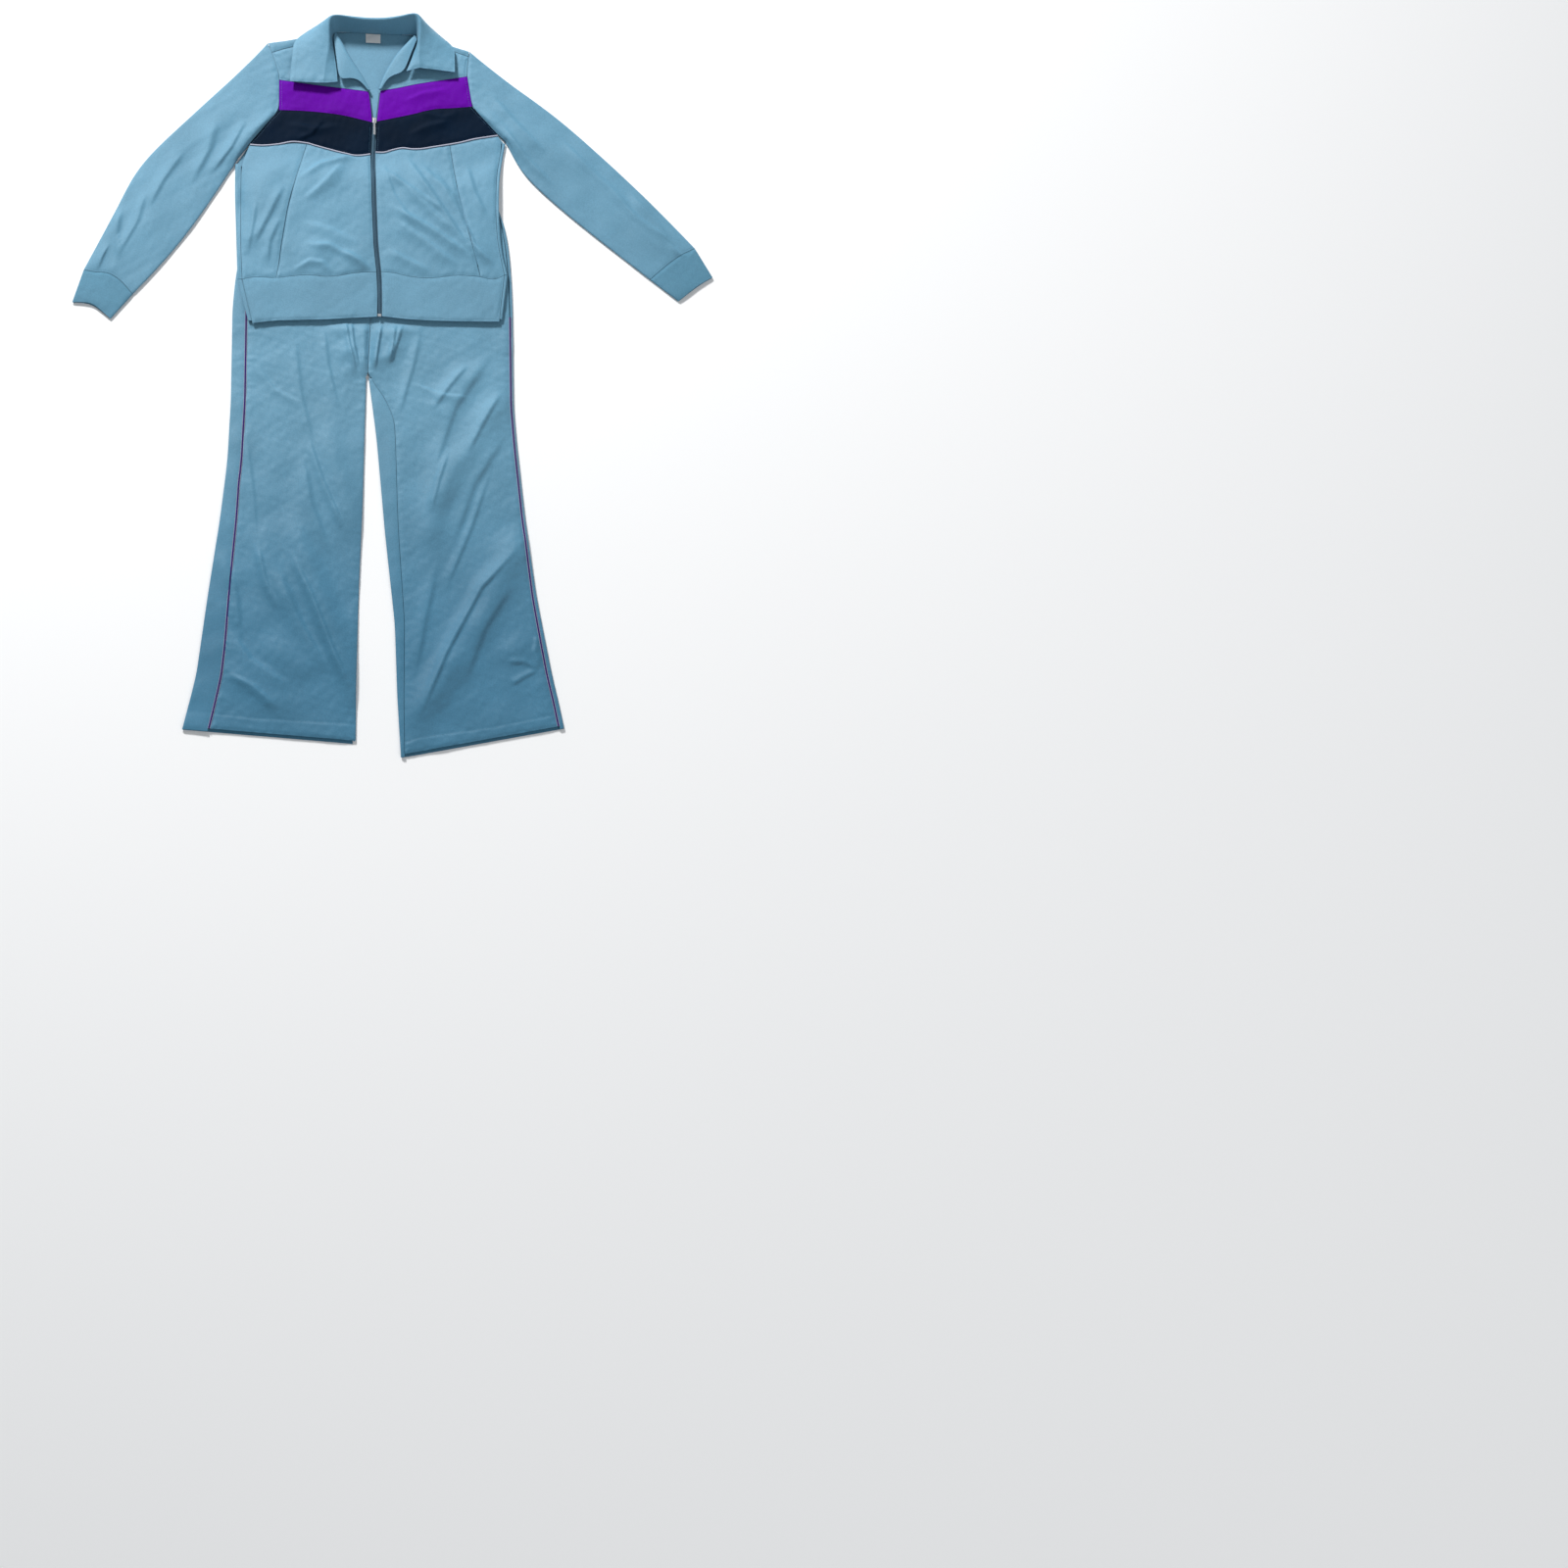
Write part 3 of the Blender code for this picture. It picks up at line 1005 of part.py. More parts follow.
for old in list(bpy.data.objects):
    bpy.data.objects.remove(old, do_unlink=True)
PARTS = bpy.data.collections.new("Tracksuit")
bpy.context.scene.collection.children.link(PARTS)
ROOT = bpy.data.objects.new("tracksuit_origin", None)
PARTS.objects.link(ROOT)
JERSEY = material("blue_jersey", BLUE, 0.55)
JERSEY_LEG = material("blue_jersey_trousers", BLUE_DEEP, 0.50)
RIB = material("blue_band", BLUE, 0.60)
RIB_DEEP = material("blue_cuff", BLUE_DEEP, 0.60)
BLACK_JERSEY = material("black_jersey", BLACK, 0.55)
PURPLE_JERSEY = material("purple_jersey", PURPLE, 0.50)
PIPING = material("pale_piping", PALE, 0.55)
PURPLE_PIPING = material("purple_piping", PURPLE, 0.50)
TAPE_CLOTH = material("zip_tape", TAPE, 0.70)
COIL = material("zip_coil", TAPE, 0.45)
METAL = material("silver_metal", SILVER, 0.30, 1.0)
LABEL = material("white_label", WHITE, 0.60)
make_tracksuit()
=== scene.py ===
"""Looks of the tracksuit: cloth, sewing, zip, floor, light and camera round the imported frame.

Tables hold centimetres on the floor plan: x to the right of the picture, y towards the
collar, z up. The wearer's right side lies at negative x.
"""
from collections import namedtuple
from math import cos, exp, hypot, pi, radians, sin

import bmesh
import bpy
import numpy as np
from mathutils import Matrix, Vector
from mathutils.bvhtree import BVHTree
from mathutils.kdtree import KDTree


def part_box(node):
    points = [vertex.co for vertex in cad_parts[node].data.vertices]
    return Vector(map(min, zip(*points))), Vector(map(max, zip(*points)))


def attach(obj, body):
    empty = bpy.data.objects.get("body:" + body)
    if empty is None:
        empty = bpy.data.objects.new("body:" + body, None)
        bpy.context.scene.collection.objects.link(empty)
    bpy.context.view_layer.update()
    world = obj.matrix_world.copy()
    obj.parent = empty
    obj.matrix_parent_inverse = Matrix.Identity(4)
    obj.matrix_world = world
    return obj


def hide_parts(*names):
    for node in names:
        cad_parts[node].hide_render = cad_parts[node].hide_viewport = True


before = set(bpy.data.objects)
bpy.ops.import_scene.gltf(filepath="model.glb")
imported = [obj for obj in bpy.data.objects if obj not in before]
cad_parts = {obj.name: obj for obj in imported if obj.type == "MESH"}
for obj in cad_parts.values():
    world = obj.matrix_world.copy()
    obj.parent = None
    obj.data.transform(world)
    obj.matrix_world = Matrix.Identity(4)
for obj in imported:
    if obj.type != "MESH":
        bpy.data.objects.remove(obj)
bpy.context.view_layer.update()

CM = 0.01
WALL = 0.11            # single jersey cloth
DOUBLE_WALL = 0.17     # cuffs, hem bands and waistband are doubled
COLLAR_WALL = 0.16
HALF_GAP = 0.035       # half of the gap left at every seam
SEWN = 0.03            # from an armhole line to the back, and to the sleeve
BAND_GAP = 0.06        # the doubled band is thicker, so its seam needs more room
EDGE_R = 0.27          # outer radius where the cloth turns over at an edge
LAYERED = 2 * EDGE_R   # two layers lying on each other, measured outside
CROWN = 0.10           # extra height away from the edges
CROWN_RUN = 2.5        # distance over which the crown builds up
ON_TROUSERS = 0.80     # how far the trousers lift the jacket that lies on them
RAMP = 2.0             # width of the slope from the floor up to the trousers

Point = namedtuple("Point", "x y")
Fold = namedtuple("Fold", "x0 y0 x1 y1 half_width height")
Crease = namedtuple("Crease", "path half_width height")


def path(*numbers):
    """Plan points from x, y, x, y and so on."""
    return [Point(x, y) for x, y in zip(numbers[::2], numbers[1::2])]


def creases(rows):
    """Creases from rows of half width, height, and the x, y, x, y of a path."""
    return [Crease(list(zip(row[2::2], row[3::2])), row[0], row[1]) for row in rows]


# Jacket outline and seams
RIGHT_EDGE = path(-22.6, 9.4, -23.6, 13.4, -24.6, 17.4, -24.8, 22, -25, 27, -25.3, 34, -25.3, 40.2)
LEFT_EDGE = path(22.9, 10.9, 23.4, 15, 24, 19.9, 23.2, 23, 22.7, 27, 22.5, 34, 22.8, 40, 23.9, 46.1)
RIGHT_SIDE_SEAM = path(-21.9, 9.2, -23.8, 17.6, -24.1, 24, -24.2, 33, -24.2, 40.2, -22.7, 44)
LEFT_SIDE_SEAM = path(22.4, 10.8, 23.4, 19.9, 22.1, 27, 21.9, 34, 22.2, 40, 23.3, 46.1, 22.55, 47.6)
RIGHT_ARMHOLE = path(-19.5, 64, -18.9, 62.4, -17.7, 58.6, -17.5, 57, -17.5, 51, -20, 47.8, -22.9, 44,
    -24.98, 40.2)
LEFT_ARMHOLE = path(17.3, 64, 17.2, 63.2, 16.9, 60.6, 16.9, 59.2, 17.8, 53.2, 20.1, 50.5, 22.7, 47.6,
    23.58, 46.1)
# Places along an armhole where the yoke, the purple band and the black band end
YOKE_TOP, YOKE_LOW, PURPLE_LOW, BLACK_LOW, ARMPIT = 1, 3, 4, 6, 7

HEM = {
    "right": path(-21.9, 9.2, -18, 9.8, -9, 10.3, 0.3, 11.1),
    "left": path(1.2, 11.2, 6.7, 10.7, 14, 10.6, 22.4, 10.8)}
BAND_SEAM = {
    "right": path(-23.8, 17.6, -21.6, 18.1, -18.1, 17.9, -12.5, 18.8, -8.1, 18.5, -3.3, 19.5, 0.2, 19.7),
    "left": path(1.1, 19.8, 3.4, 19.7, 6.7, 18.9, 11.1, 18.9, 14.5, 19.6, 18.6, 19.4, 21.5, 18.9,
        23.4, 19.9)}
BLACK_HEM = {
    "right": path(-22.9, 44, -18.8, 44, -15.8, 44.8, -12.2, 44.6, -9, 43.8, -5.7, 43, -3.4, 42.6,
        -0.9, 43),
    "left": path(-0.1, 43.4, 1.9, 43.5, 4.5, 44.4, 7.5, 44.3, 10.7, 44.9, 15, 45.8, 18.8, 46.9,
        22.7, 47.6)}
PURPLE_HEM = {
    "right": path(-17.5, 51, -12.3, 51, -7, 50.6, -3.7, 50, -0.8, 49.3),
    "left": path(0.4, 49.5, 4.2, 50.5, 7.5, 51.4, 10.8, 52.4, 14.2, 52.7, 17.8, 53.2)}
YOKE_HEM = {
    "right": path(-17.5, 57, -12, 56.4, -6.8, 55.9, -1.2, 55.4),
    "left": path(0.9, 55.7, 3.6, 56.2, 7.7, 57.3, 13, 58.4, 16.9, 59.2)}
SHOULDER_SEAM = {
    "right": path(-18.9, 62.4, -7.4, 66.4),
    "left": path(7.4, 66.6, 17.2, 63.2)}
HEM_CUT = {"right": Point(-16.6, 9.9), "left": Point(17.7, 10.65)}
POCKET_SEAM = {
    "right": path(-17.8, 17.95, -17.2, 21.1, -15.2, 34, -12.4, 44.7),
    "left": path(19, 19.4, 18.2, 22.8, 15.4, 34, 13.6, 45.5)}

# Top edge of the back: shoulder edge, neckline, shoulder edge
BACK_TOP = path(-19.5, 64.3, -15.5, 65, -11.5, 66.2, -8.5, 67, -6.9, 67.5, -3.5, 67.65, 3.5, 67.65,
    6.9, 67.5, 8.5, 67, 11.5, 66.2, 14.5, 65.1, 17.3, 64.3)

# Centre line of the zip, from the hem up to the slider
ZIP = path(0.75, 11.1, 0.8, 14, 0.75, 18.5, 0.1, 25, -0.2, 33, -0.45, 43, -0.25, 47, -0.15, 50.2)
ZIP_OPENING = 0.42     # from the centre line to the edge of each front
SLIDER_Y = 49.6
# Edge of each front from the slider to the corner where the yoke begins to roll out
OPENING = {
    "right": path(-0.57, 50.2, -0.85, 52.5, -1.2, 55.4),
    "left": path(0.27, 50.2, 0.55, 52.5, 0.9, 55.7)}

# The yoke rolls out at the neck: fold line, free end, and depth of the roll, row by row
Roll = namedtuple("Roll", "fold_x fold_y end_x end_y depth")
NECK_ROLL = {
    "right": [Roll(-1.2, 55.4, -1.5, 55.65, 0.40), Roll(-2.5, 57.7, -3.0, 57.4, 0.75),
              Roll(-4.1, 60.0, -5.0, 57.5, 0.95), Roll(-5.4, 62.0, -6.7, 56.8, 1.10),
              Roll(-6.3, 64.0, -7.0, 60.8, 0.95), Roll(-7.4, 66.4, -7.6, 65.6, 0.60)],
    "left": [Roll(0.9, 55.7, 1.2, 55.95, 0.40), Roll(1.9, 58.3, 2.2, 57.8, 0.75),
             Roll(3.1, 60.3, 3.6, 58.5, 0.95), Roll(4.2, 62.2, 5.3, 59.0, 1.10),
             Roll(5.7, 64.2, 6.2, 62.0, 0.95), Roll(7.4, 66.6, 7.6, 65.8, 0.60)]}

# Collar: neck seam, crest where it turns, free edge, from the right front round to the left
Collar = namedtuple("Collar", "neck crest edge")
COLLAR = [Collar(row[:3], row[3:6], row[6:]) for row in (
    (-6.9, 56.5, 1.86, -9.5, 56.1, 2.15, -15.5, 56.2, 1.9),
    (-7, 58.6, 1.82, -9.3, 58.3, 2.15, -15.4, 58.6, 1.75),
    (-7.3, 60.8, 1.75, -8.9, 60.6, 2.3, -15.2, 60.8, 1.65),
    (-7.6, 62.8, 1.7, -8.6, 62.9, 2.6, -15, 62.8, 1.5), (-7.9, 65, 1.4, -8.6, 65.6, 3.1, -14.9, 64.6, 1.2),
    (-7.7, 66.6, 1, -8.6, 67.6, 3.6, -12.7, 66.6, 0.9),
    (-6.7, 67.45, 0.35, -7.9, 69, 3.9, -9.6, 68.9, 0.6),
    (-4.6, 67.5, 0.17, -5, 68.6, 3.7, -5.8, 69.7, 0.35),
    (-1.6, 67.5, 0.17, -1.7, 68.4, 3.55, -1.8, 69.6, 0.35),
    (1.6, 67.5, 0.17, 1.7, 68.5, 3.55, 1.8, 69.6, 0.35), (4.6, 67.5, 0.17, 5, 69.2, 3.7, 5.6, 70.2, 0.35),
    (6.8, 67.5, 0.35, 7.8, 70.1, 4, 9.2, 69.9, 0.6), (7.7, 66.8, 1, 8.3, 68.2, 3.6, 11.6, 67.2, 0.9),
    (7.8, 65, 1.4, 8.3, 65.6, 3.1, 14.5, 64.9, 1.25), (7.1, 63.2, 1.75, 8, 63.4, 2.6, 14.6, 63.2, 1.55),
    (6.5, 61.2, 1.76, 8, 61.6, 2.35, 14.6, 61.4, 1.65),
    (5.7, 59.2, 1.86, 8.2, 59.8, 2.25, 14.6, 59.4, 1.85))]

# Sleeves: silhouette on the outer and on the inner side, and the seam and end of each cuff
SLEEVE_OUTER = {
    "right": path(-19.6, 64.6, -25.6, 57.4, -36.2, 45.9, -42, 39.7, -43.3, 37.2, -44.8, 33.4, -51.6, 18.9),
    "left": path(17.35, 64.6, 26.7, 56.7, 33.5, 51.6, 45.7, 40.3, 54, 31.8, 58.8, 26.6)}
SLEEVE_INNER = {
    "right": path(-25.85, 39.75, -29.6, 33.2, -33.7, 26.6, -38.4, 20.2, -43.1, 14.6),
    "left": path(24.35, 46.2, 26.4, 41.8, 29.2, 38.1, 36.3, 31.7, 43.8, 25.6, 50.4, 20.3)}
CUFF_SEAM = {
    "right": path(-51.6, 18.9, -49.6, 18.5, -47.6, 18.4, -45.4, 17.2, -43.1, 14.6),
    "left": path(58.8, 26.6, 55.9, 25, 53, 22.7, 50.4, 20.3)}
CUFF_END = {
    "right": path(-53.5, 12.7, -51.8, 12.7, -50.1, 12.4, -48.6, 11.3, -46.9, 9.8),
    "left": path(62, 21, 59.3, 19.3, 57.2, 17.5, 55.6, 16.2)}

# Trousers: outer and inner edge of each leg, and the centre seam above the crotch
CROTCH_Y = 0.0
CENTRE_SEAM = path(-1.4, -0.5, -1.2, 4, -0.9, 10, -0.3, 20, 0.2, 33.4)
LEG_OUTER = {
    "right": path(-33.2, -65, -32, -60, -31, -55.5, -29.3, -41.8, -27.3, -27.4, -26.1, -16.5, -25.6, -5,
        -25.5, 13, -24.9, 19.3, -23.4, 27.5, -21.9, 33.4),
    "left": path(33.2, -64.6, 32.3, -60, 31.3, -55.6, 28.7, -41.1, 26.8, -26.5, 25.4, -12, 24.9, -5,
        24.9, 14.6, 24.6, 22.3, 23.9, 29, 22.4, 33.4)}
LEG_INNER = {
    "right": path(-3.4, -67.5, -3.3, -57.6, -2.9, -40.8, -2.2, -24.1, -1.8, -8, -1.6, -0.5),
    "left": path(4.4, -70, 3.8, -59.3, 3.4, -46.3, 1.7, -29.7, 0.2, -11.7, -1.2, -0.5)}
# How far each seam lies in from the edge of its leg on the upper side
SIDE_SEAM_IN = {
    "right": path(4.5, -65, 4.2, -50, 3.3, -35, 2.5, -20, 2.5, 9, 2.4, 33.4),
    "left": path(0.95, -64.6, 0.9, -50, 0.6, -30, 0.5, -8, 0.5, 33.4)}
INSEAM_IN = path(0.7, -70, 1.3, -57, 2.6, -25, 3.6, -8, 2.4, -4, 0.7, -1)
LEG_ROWS = [33.4, 27.0, 19.0, 12.0, 9.8, 7.8, 5.8, 3.8, 2.0, 0.4, -1.2, -4.0, -8.0, -13.0, -18.0,
            -23.0, -28.0, -33.0, -38.0, -43.0, -48.0, -53.0, -57.5, -61.5, -65.0]
LEG_ROWS = sorted(LEG_ROWS + [(a + b) / 2 for a, b in zip(LEG_ROWS, LEG_ROWS[1:])], reverse=True)
STRAIGHT_TO = -10.0    # rows are level above this and slant towards the hem below it
BACK_HEM_DROP = 0.5    # the back of each leg shows below the front
WAIST_Y = 33.4
WAIST_TOP_Y = 37.0

# Folds and gathers: ridges above zero, troughs below
TROUSER_FOLDS = [Fold(*row) for row in (
    (-9, -10, -3.5, -30, 1.7, 0.4), (-14.8, -27, -3.6, -60, 2, 0.55), (-20.5, -30, -15, -45, 1.6, 0.4),
    (-26, -54, -15.5, -62, 1.6, 0.4), (-19.5, -50, -11, -55, 1.7, 0.3), (-11.5, -29, -4, -45, 1.6, -0.25),
    (26, -30, 7.5, -64, 2.1, 0.75), (24, -34, 10, -58, 1.6, -0.25), (23, -2, 10, -26, 1.8, 0.4),
    (17.5, 2.5, 9.5, -8, 1.7, 0.35), (13.5, -14, 9, -32, 1.7, 0.35), (28.5, -52, 19, -50, 1.3, 0.3),
    (-7.4, 11, -4.2, 0, 0.55, 0.3), (-5.6, 11, -3.6, 2, 0.5, 0.32), (-2.4, 11, -2, 1, 0.65, 0.36),
    (1, 11, -0.2, 1.5, 0.6, 0.36), (2.9, 11, 0.9, 1.5, 0.5, 0.34), (4.6, 11, 1.9, 2.5, 0.5, 0.34),
    (6.4, 11, 2.9, 3.5, 0.5, 0.28))]
JACKET_FOLDS = [Fold(*row) for row in (
    (-13.6, 36, -4, 42.2, 1, 0.3), (-11.6, 35, -7, 38.5, 0.9, 0.22), (5.5, 42.5, 17.5, 24, 1.3, 0.4),
    (1.5, 40, 13, 31, 1.2, 0.35), (2.2, 33.5, 17.5, 22.5, 1.6, 0.4), (16, 31, 21, 21.5, 1.2, 0.4),
    (-13.5, 24.8, 0, 20.6, 1.1, 0.35), (-16, 19.8, -9, 21.2, 0.9, 0.25), (-19.5, 40, -22, 24, 1.4, 0.3),
    (-12, 48, -16, 45.5, 1.2, 0.22), (9.5, 56, 15.5, 53.5, 1.1, 0.2))]
SLEEVE_FOLDS = [Fold(*row) for row in (
    (-20.5, 50.5, -24.5, 42, 1.6, 0.4), (-24, 52, -33, 44, 1.8, 0.3), (-38, 36, -41.5, 24, 1.8, 0.3),
    (-47.5, 28, -47.8, 19.2, 1.1, 0.3), (-44.2, 24, -45.6, 18.6, 0.9, 0.25), (20, 54, 29, 43, 1.8, 0.4),
    (27.5, 50, 40, 39, 1.9, 0.3), (44, 36, 51, 28, 1.8, 0.3), (49.5, 29.5, 53.6, 24, 1, 0.25),
    (53, 31, 56, 26.2, 1, 0.25))]

SIDE_COLUMNS = 4       # columns of a lower front outside its pocket seam
CENTRE_COLUMNS = 8     # columns between the pocket seam and the zip
FRONT_ROWS = 8         # rows of a lower front up to the armpit
YOKE_ROWS = 5
BAND_ROWS = 3
FRONT_LEG_COLUMNS = 13
BACK_LEG_COLUMNS = 5
EDGE_COLUMNS = [0.0, 1.0, 2.0, 3.2]              # of the back, from each of its sides
BACK_SHARES = [0.14, 0.292, 0.44, 0.60, 0.775, 0.89]   # columns between those
NECK_COLUMN = 5        # where the back stops turning over the shoulder
ARM_UNDER = [13, 12, 9, 6, 3, 0]                 # armhole points used on the underside
SLEEVE_ROWS = [0.0, 0.05, 0.11, 0.19, 0.29, 0.40, 0.52, 0.64, 0.76, 0.88, 1.0]
# Steps round an edge: share of its radius outwards, and share of half its height upwards
TURN = [(sin(radians(d)), 1 - cos(radians(d))) for d in (45, 90, 135)]
PIPING_SUNK = 0.03     # the piping lies in its seam with its centre this far below the cloth
PIPING_SLOT = 0.15     # from the middle of a piped seam to the panel on each side
CREST_R = 0.36         # half width of the collar where it turns

# Where the plan's zero lies in the frame, found from the zip slider
SLIDER_X = -0.17
SLIDER_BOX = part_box("zip_slider")
SHIFT_X = (SLIDER_BOX[0].x + SLIDER_BOX[1].x) / 2 / CM - SLIDER_X
SHIFT_Y = (SLIDER_BOX[0].y + SLIDER_BOX[1].y) / 2 / CM - SLIDER_Y

# The photograph's camera: the pixel that looks at the plan's zero, and the angle of that ray
PHOTO_WIDTH = 1600.0
LENS_MM = 60.0
SENSOR_MM = 36.0
AIM_PX, AIM_PY = 383.0, 385.0
RAY_ELEVATION = 70.0
RAY_LENGTH = 485.0

FINE = 3               # subdivisions of the cloth that faces the camera
PLAIN = 2              # subdivisions of what lies underneath
SUBDIVISIONS = {"jacket_back": PLAIN, "back_hem_band": PLAIN, "right_leg_back": PLAIN,
                "left_leg_back": PLAIN, "waistband": 1, "right_pocket_bag": 1, "left_pocket_bag": 1,
                "right_zip_tape": 1, "left_zip_tape": 1, "neck_label": 2}

ON_FLOOR = "floor"

# Creases of the photograph, each steeper on one side
JACKET_CREASES = creases((
    (0.45, 0.16, 5.2, 43.3, 11.2, 33.9, 17.9, 23.2), (0.4, 0.14, 1.1, 40.3, 6.6, 36.1, 13, 31.5),
    (0.5, 0.16, 2, 33, 9.8, 28.7, 17.9, 22.9), (0.45, 0.16, 16, 30.8, 18, 25.2, 22, 21.2),
    (0.45, 0.16, -13.8, 37.4, -10.1, 40.6, -3.4, 43),
    (0.45, 0.14, -13.2, 24.7, -8.1, 24.6, -3.7, 22.2, -0.6, 20.4),
    (0.4, 0.12, -15.1, 19.3, -11.8, 21.5, -9.4, 21.2, -7.7, 18.8),
    (0.5, 0.14, -16.3, 36.6, -19, 30.4, -22.1, 23.8), (0.35, 0.08, 1.1, 42.2, 3.4, 34.6, 8.3, 27.1),
    (0.4, 0.1, 10.2, 40.6, 14.1, 35, 16.9, 27.4), (0.4, 0.1, -21.3, 33.7, -22, 28, -23, 21.9),
    (0.4, 0.1, -9.4, 49.5, -11.5, 46.5, -14.7, 45), (0.4, 0.08, 7.5, 52.2, 12.4, 50.8, 15.6, 52.1),
    (0.6, 0.15, -28.5, 48.9, -29.8, 43.1, -32.9, 36.3), (0.5, 0.14, -23.2, 49.5, -26, 43.3, -29.8, 37.8),
    (0.6, 0.12, -34, 43, -38.3, 36.1, -40.8, 30.4), (0.6, 0.12, -40.9, 35.1, -42.5, 28.4, -46.1, 21.3),
    (0.6, 0.14, 21.1, 55.9, 26.5, 49.3, 31.9, 43.7), (0.5, 0.14, 23.2, 49.6, 27.5, 43.5, 32.9, 37.9),
    (0.6, 0.12, 33.8, 47.6, 40.9, 40.1, 48.2, 33.6), (0.5, 0.12, 42.7, 38.2, 48.1, 32.2, 55.3, 27),
    (0.35, 0.1, -47.5, 23.5, -48.5, 21.3, -49.2, 19), (0.35, 0.1, 53.9, 27.4, 55.3, 25.9, 57.1, 24.8),
    (0.7, 0.14, 3, 30, 9, 26, 15.5, 20.6), (0.6, 0.14, 4.5, 37, 10, 32, 15, 27),
    (0.5, 0.12, 8, 41.5, 12.5, 36.5, 15.2, 31), (0.6, 0.12, 1.5, 24.5, 6, 22, 10.5, 19.8),
    (0.6, 0.14, -13, 33, -9, 37, -5.5, 41.5), (0.8, 0.1, -14, 29, -8, 27.5, -2.5, 24.5),
    (0.5, 0.12, -6, 24, -3, 22, -1, 19.9), (0.5, 0.12, -17, 30, -19, 25, -19.5, 20),
    (0.5, 0.12, 16.5, 42, 18, 36, 20.5, 30.5), (0.5, 0.12, 6, 47, 9.5, 49, 14, 50.2),
    (0.5, 0.1, -16, 48.5, -11, 47.5, -6, 48.5), (0.5, 0.1, 5, 53.5, 9, 55.5, 14, 56.5),
    (0.5, 0.14, -45.5, 31, -46, 26, -45, 20.5), (0.6, 0.12, 46.5, 37.5, 52, 31, 54.5, 27.5)))
LEG_CREASES = creases((
    (0.5, 0.16, -12.3, -10.9, -9.4, -19.8, -5, -30.3),
    (0.5, 0.14, -20.8, -31.1, -19.2, -38.8, -16.8, -44.3),
    (0.55, 0.18, -15.7, -31.6, -11.3, -40.9, -7.2, -51.8, -3.4, -59.9),
    (0.5, 0.14, -25.8, -55.3, -21.1, -57.9, -16.5, -62.2),
    (0.55, 0.2, 26.4, -31, 18.7, -39.5, 12.4, -51.6, 7, -64.9),
    (0.45, 0.13, 16.9, 3, 13.2, -1.8, 10, -6.5), (0.5, 0.14, 22.9, -2.1, 19.5, -8.1, 16.3, -14.7),
    (0.45, 0.12, 13.1, -13.7, 11.3, -19.4, 9.7, -26.1), (0.4, 0.1, 28.9, -54.4, 26.3, -53.1, 22.8, -53.2),
    (0.4, 0.1, 28.9, -54.4, 26.4, -55.7, 23.6, -57.5), (0.4, 0.1, 28.9, -54.4, 28.1, -51.1, 28.6, -47.5),
    (0.35, 0.16, -5.4, 11.1, -4.7, 6.2, -3.3, 0.1), (0.3, 0.14, -4.4, 11.1, -3.9, 6.2, -2.8, 1),
    (0.35, 0.18, 1.2, 10.5, 0.5, 6, -0.2, 0.7), (0.35, 0.16, 3.7, 10.2, 3.2, 6.4, 2.5, 2.3),
    (0.3, 0.14, 5.1, 10.6, 3.9, 6.4, 2.3, 1.9), (0.5, 0.1, -9.3, 9.8, -8.6, 2.4, -6.6, -6.9),
    (0.6, 0.1, -14.5, 7.8, -13.4, -3.3, -10.9, -14.4), (0.5, 0.1, 8.3, 10.3, 6.9, 2.8, 3.8, -8.5),
    (0.5, 0.08, -23, -10.9, -21.6, -21.9, -20.8, -31.1), (0.5, 0.1, 20.5, -17.4, 16.9, -28.5, 11.6, -41.4),
    (0.9, 0.16, -13, -14.5, -11.6, -24, -8, -34), (1.1, 0.2, -17.5, -36, -13.5, -46, -8, -56),
    (1, 0.16, -26, -47, -22, -53, -14.5, -58.5), (0.8, 0.12, -27.5, -32, -24.5, -40, -23.5, -50),
    (0.8, 0.12, 21.5, 6, 14, -6, 9.5, -20), (0.9, 0.14, 24, -9, 17.5, -20, 13, -33),
    (0.9, 0.14, 24.5, -38, 19, -47, 15, -58), (0.8, 0.12, 11, -34, 8.5, -46, 6.5, -57),
    (0.5, 0.08, -21.5, 2, -18, -3, -12.5, -6), (0.5, 0.08, 6, -1, 12, -3.5, 18, -4)))

STEEP_SIDE, GENTLE_SIDE = 0.7, 1.9    # widths of the two sides of a crease
CREASE_FADE = 0.28     # share of a crease over which each end fades out
CREASE_GAIN = 2.4
UPWARD_FROM, UPWARD_SPAN = 0.25, 0.5  # upward lean of the cloth where the relief sets in
SWELL_SEED, RIPPLE_SEED, PUCKER_SEED = 3, 5, 11
FOLD_GAIN = 1.9        # makes up for what the subdivision takes off the trousers' broad folds
WAVE_COUNT = 12
SWELL, SWELL_SIZE = 0.045, 6.0
RIPPLE, RIPPLE_SIZE = 0.014, 1.7
PUCKER, PUCKER_SIZE, PUCKER_REACH = 0.035, 1.3, 0.9
SEAM_SINK, SEAM_ROUND = 0.13, 0.34
LOWEST = -0.09         # the cloth is never pushed further down than this
HEM_COVER_Y = 9.0      # above this the trousers lie under the jacket
HEM_STEP, STITCH_SINK, STITCH_DENT = 0.06, 0.06, 0.22
LEG_HEM_STITCHES = {"right": [(-33.6, -62.2), (-21.0, -63.6), (-3.5, -64.6)],
                    "left": [(4.4, -68.1), (8.0, -66.9), (21.1, -65.0), (31.4, -62.8)]}
CORD_STEPS = 160
BACK_BAND_IN = 0.6     # the back of the jacket's hem lies further in, in the shade of the front
POCKET_LOW_Y, POCKET_TOP_Y = 21.0, 35.2
TOOTH_PITCH, TOOTH_WIDE, TOOTH_LONG, TOOTH_HIGH = 0.17, 0.30, 0.16, 0.10
STITCH_PITCH, STITCH_SHARE, STITCH_R, STITCH_JUMP = 0.34, 0.72, 0.028, 0.25
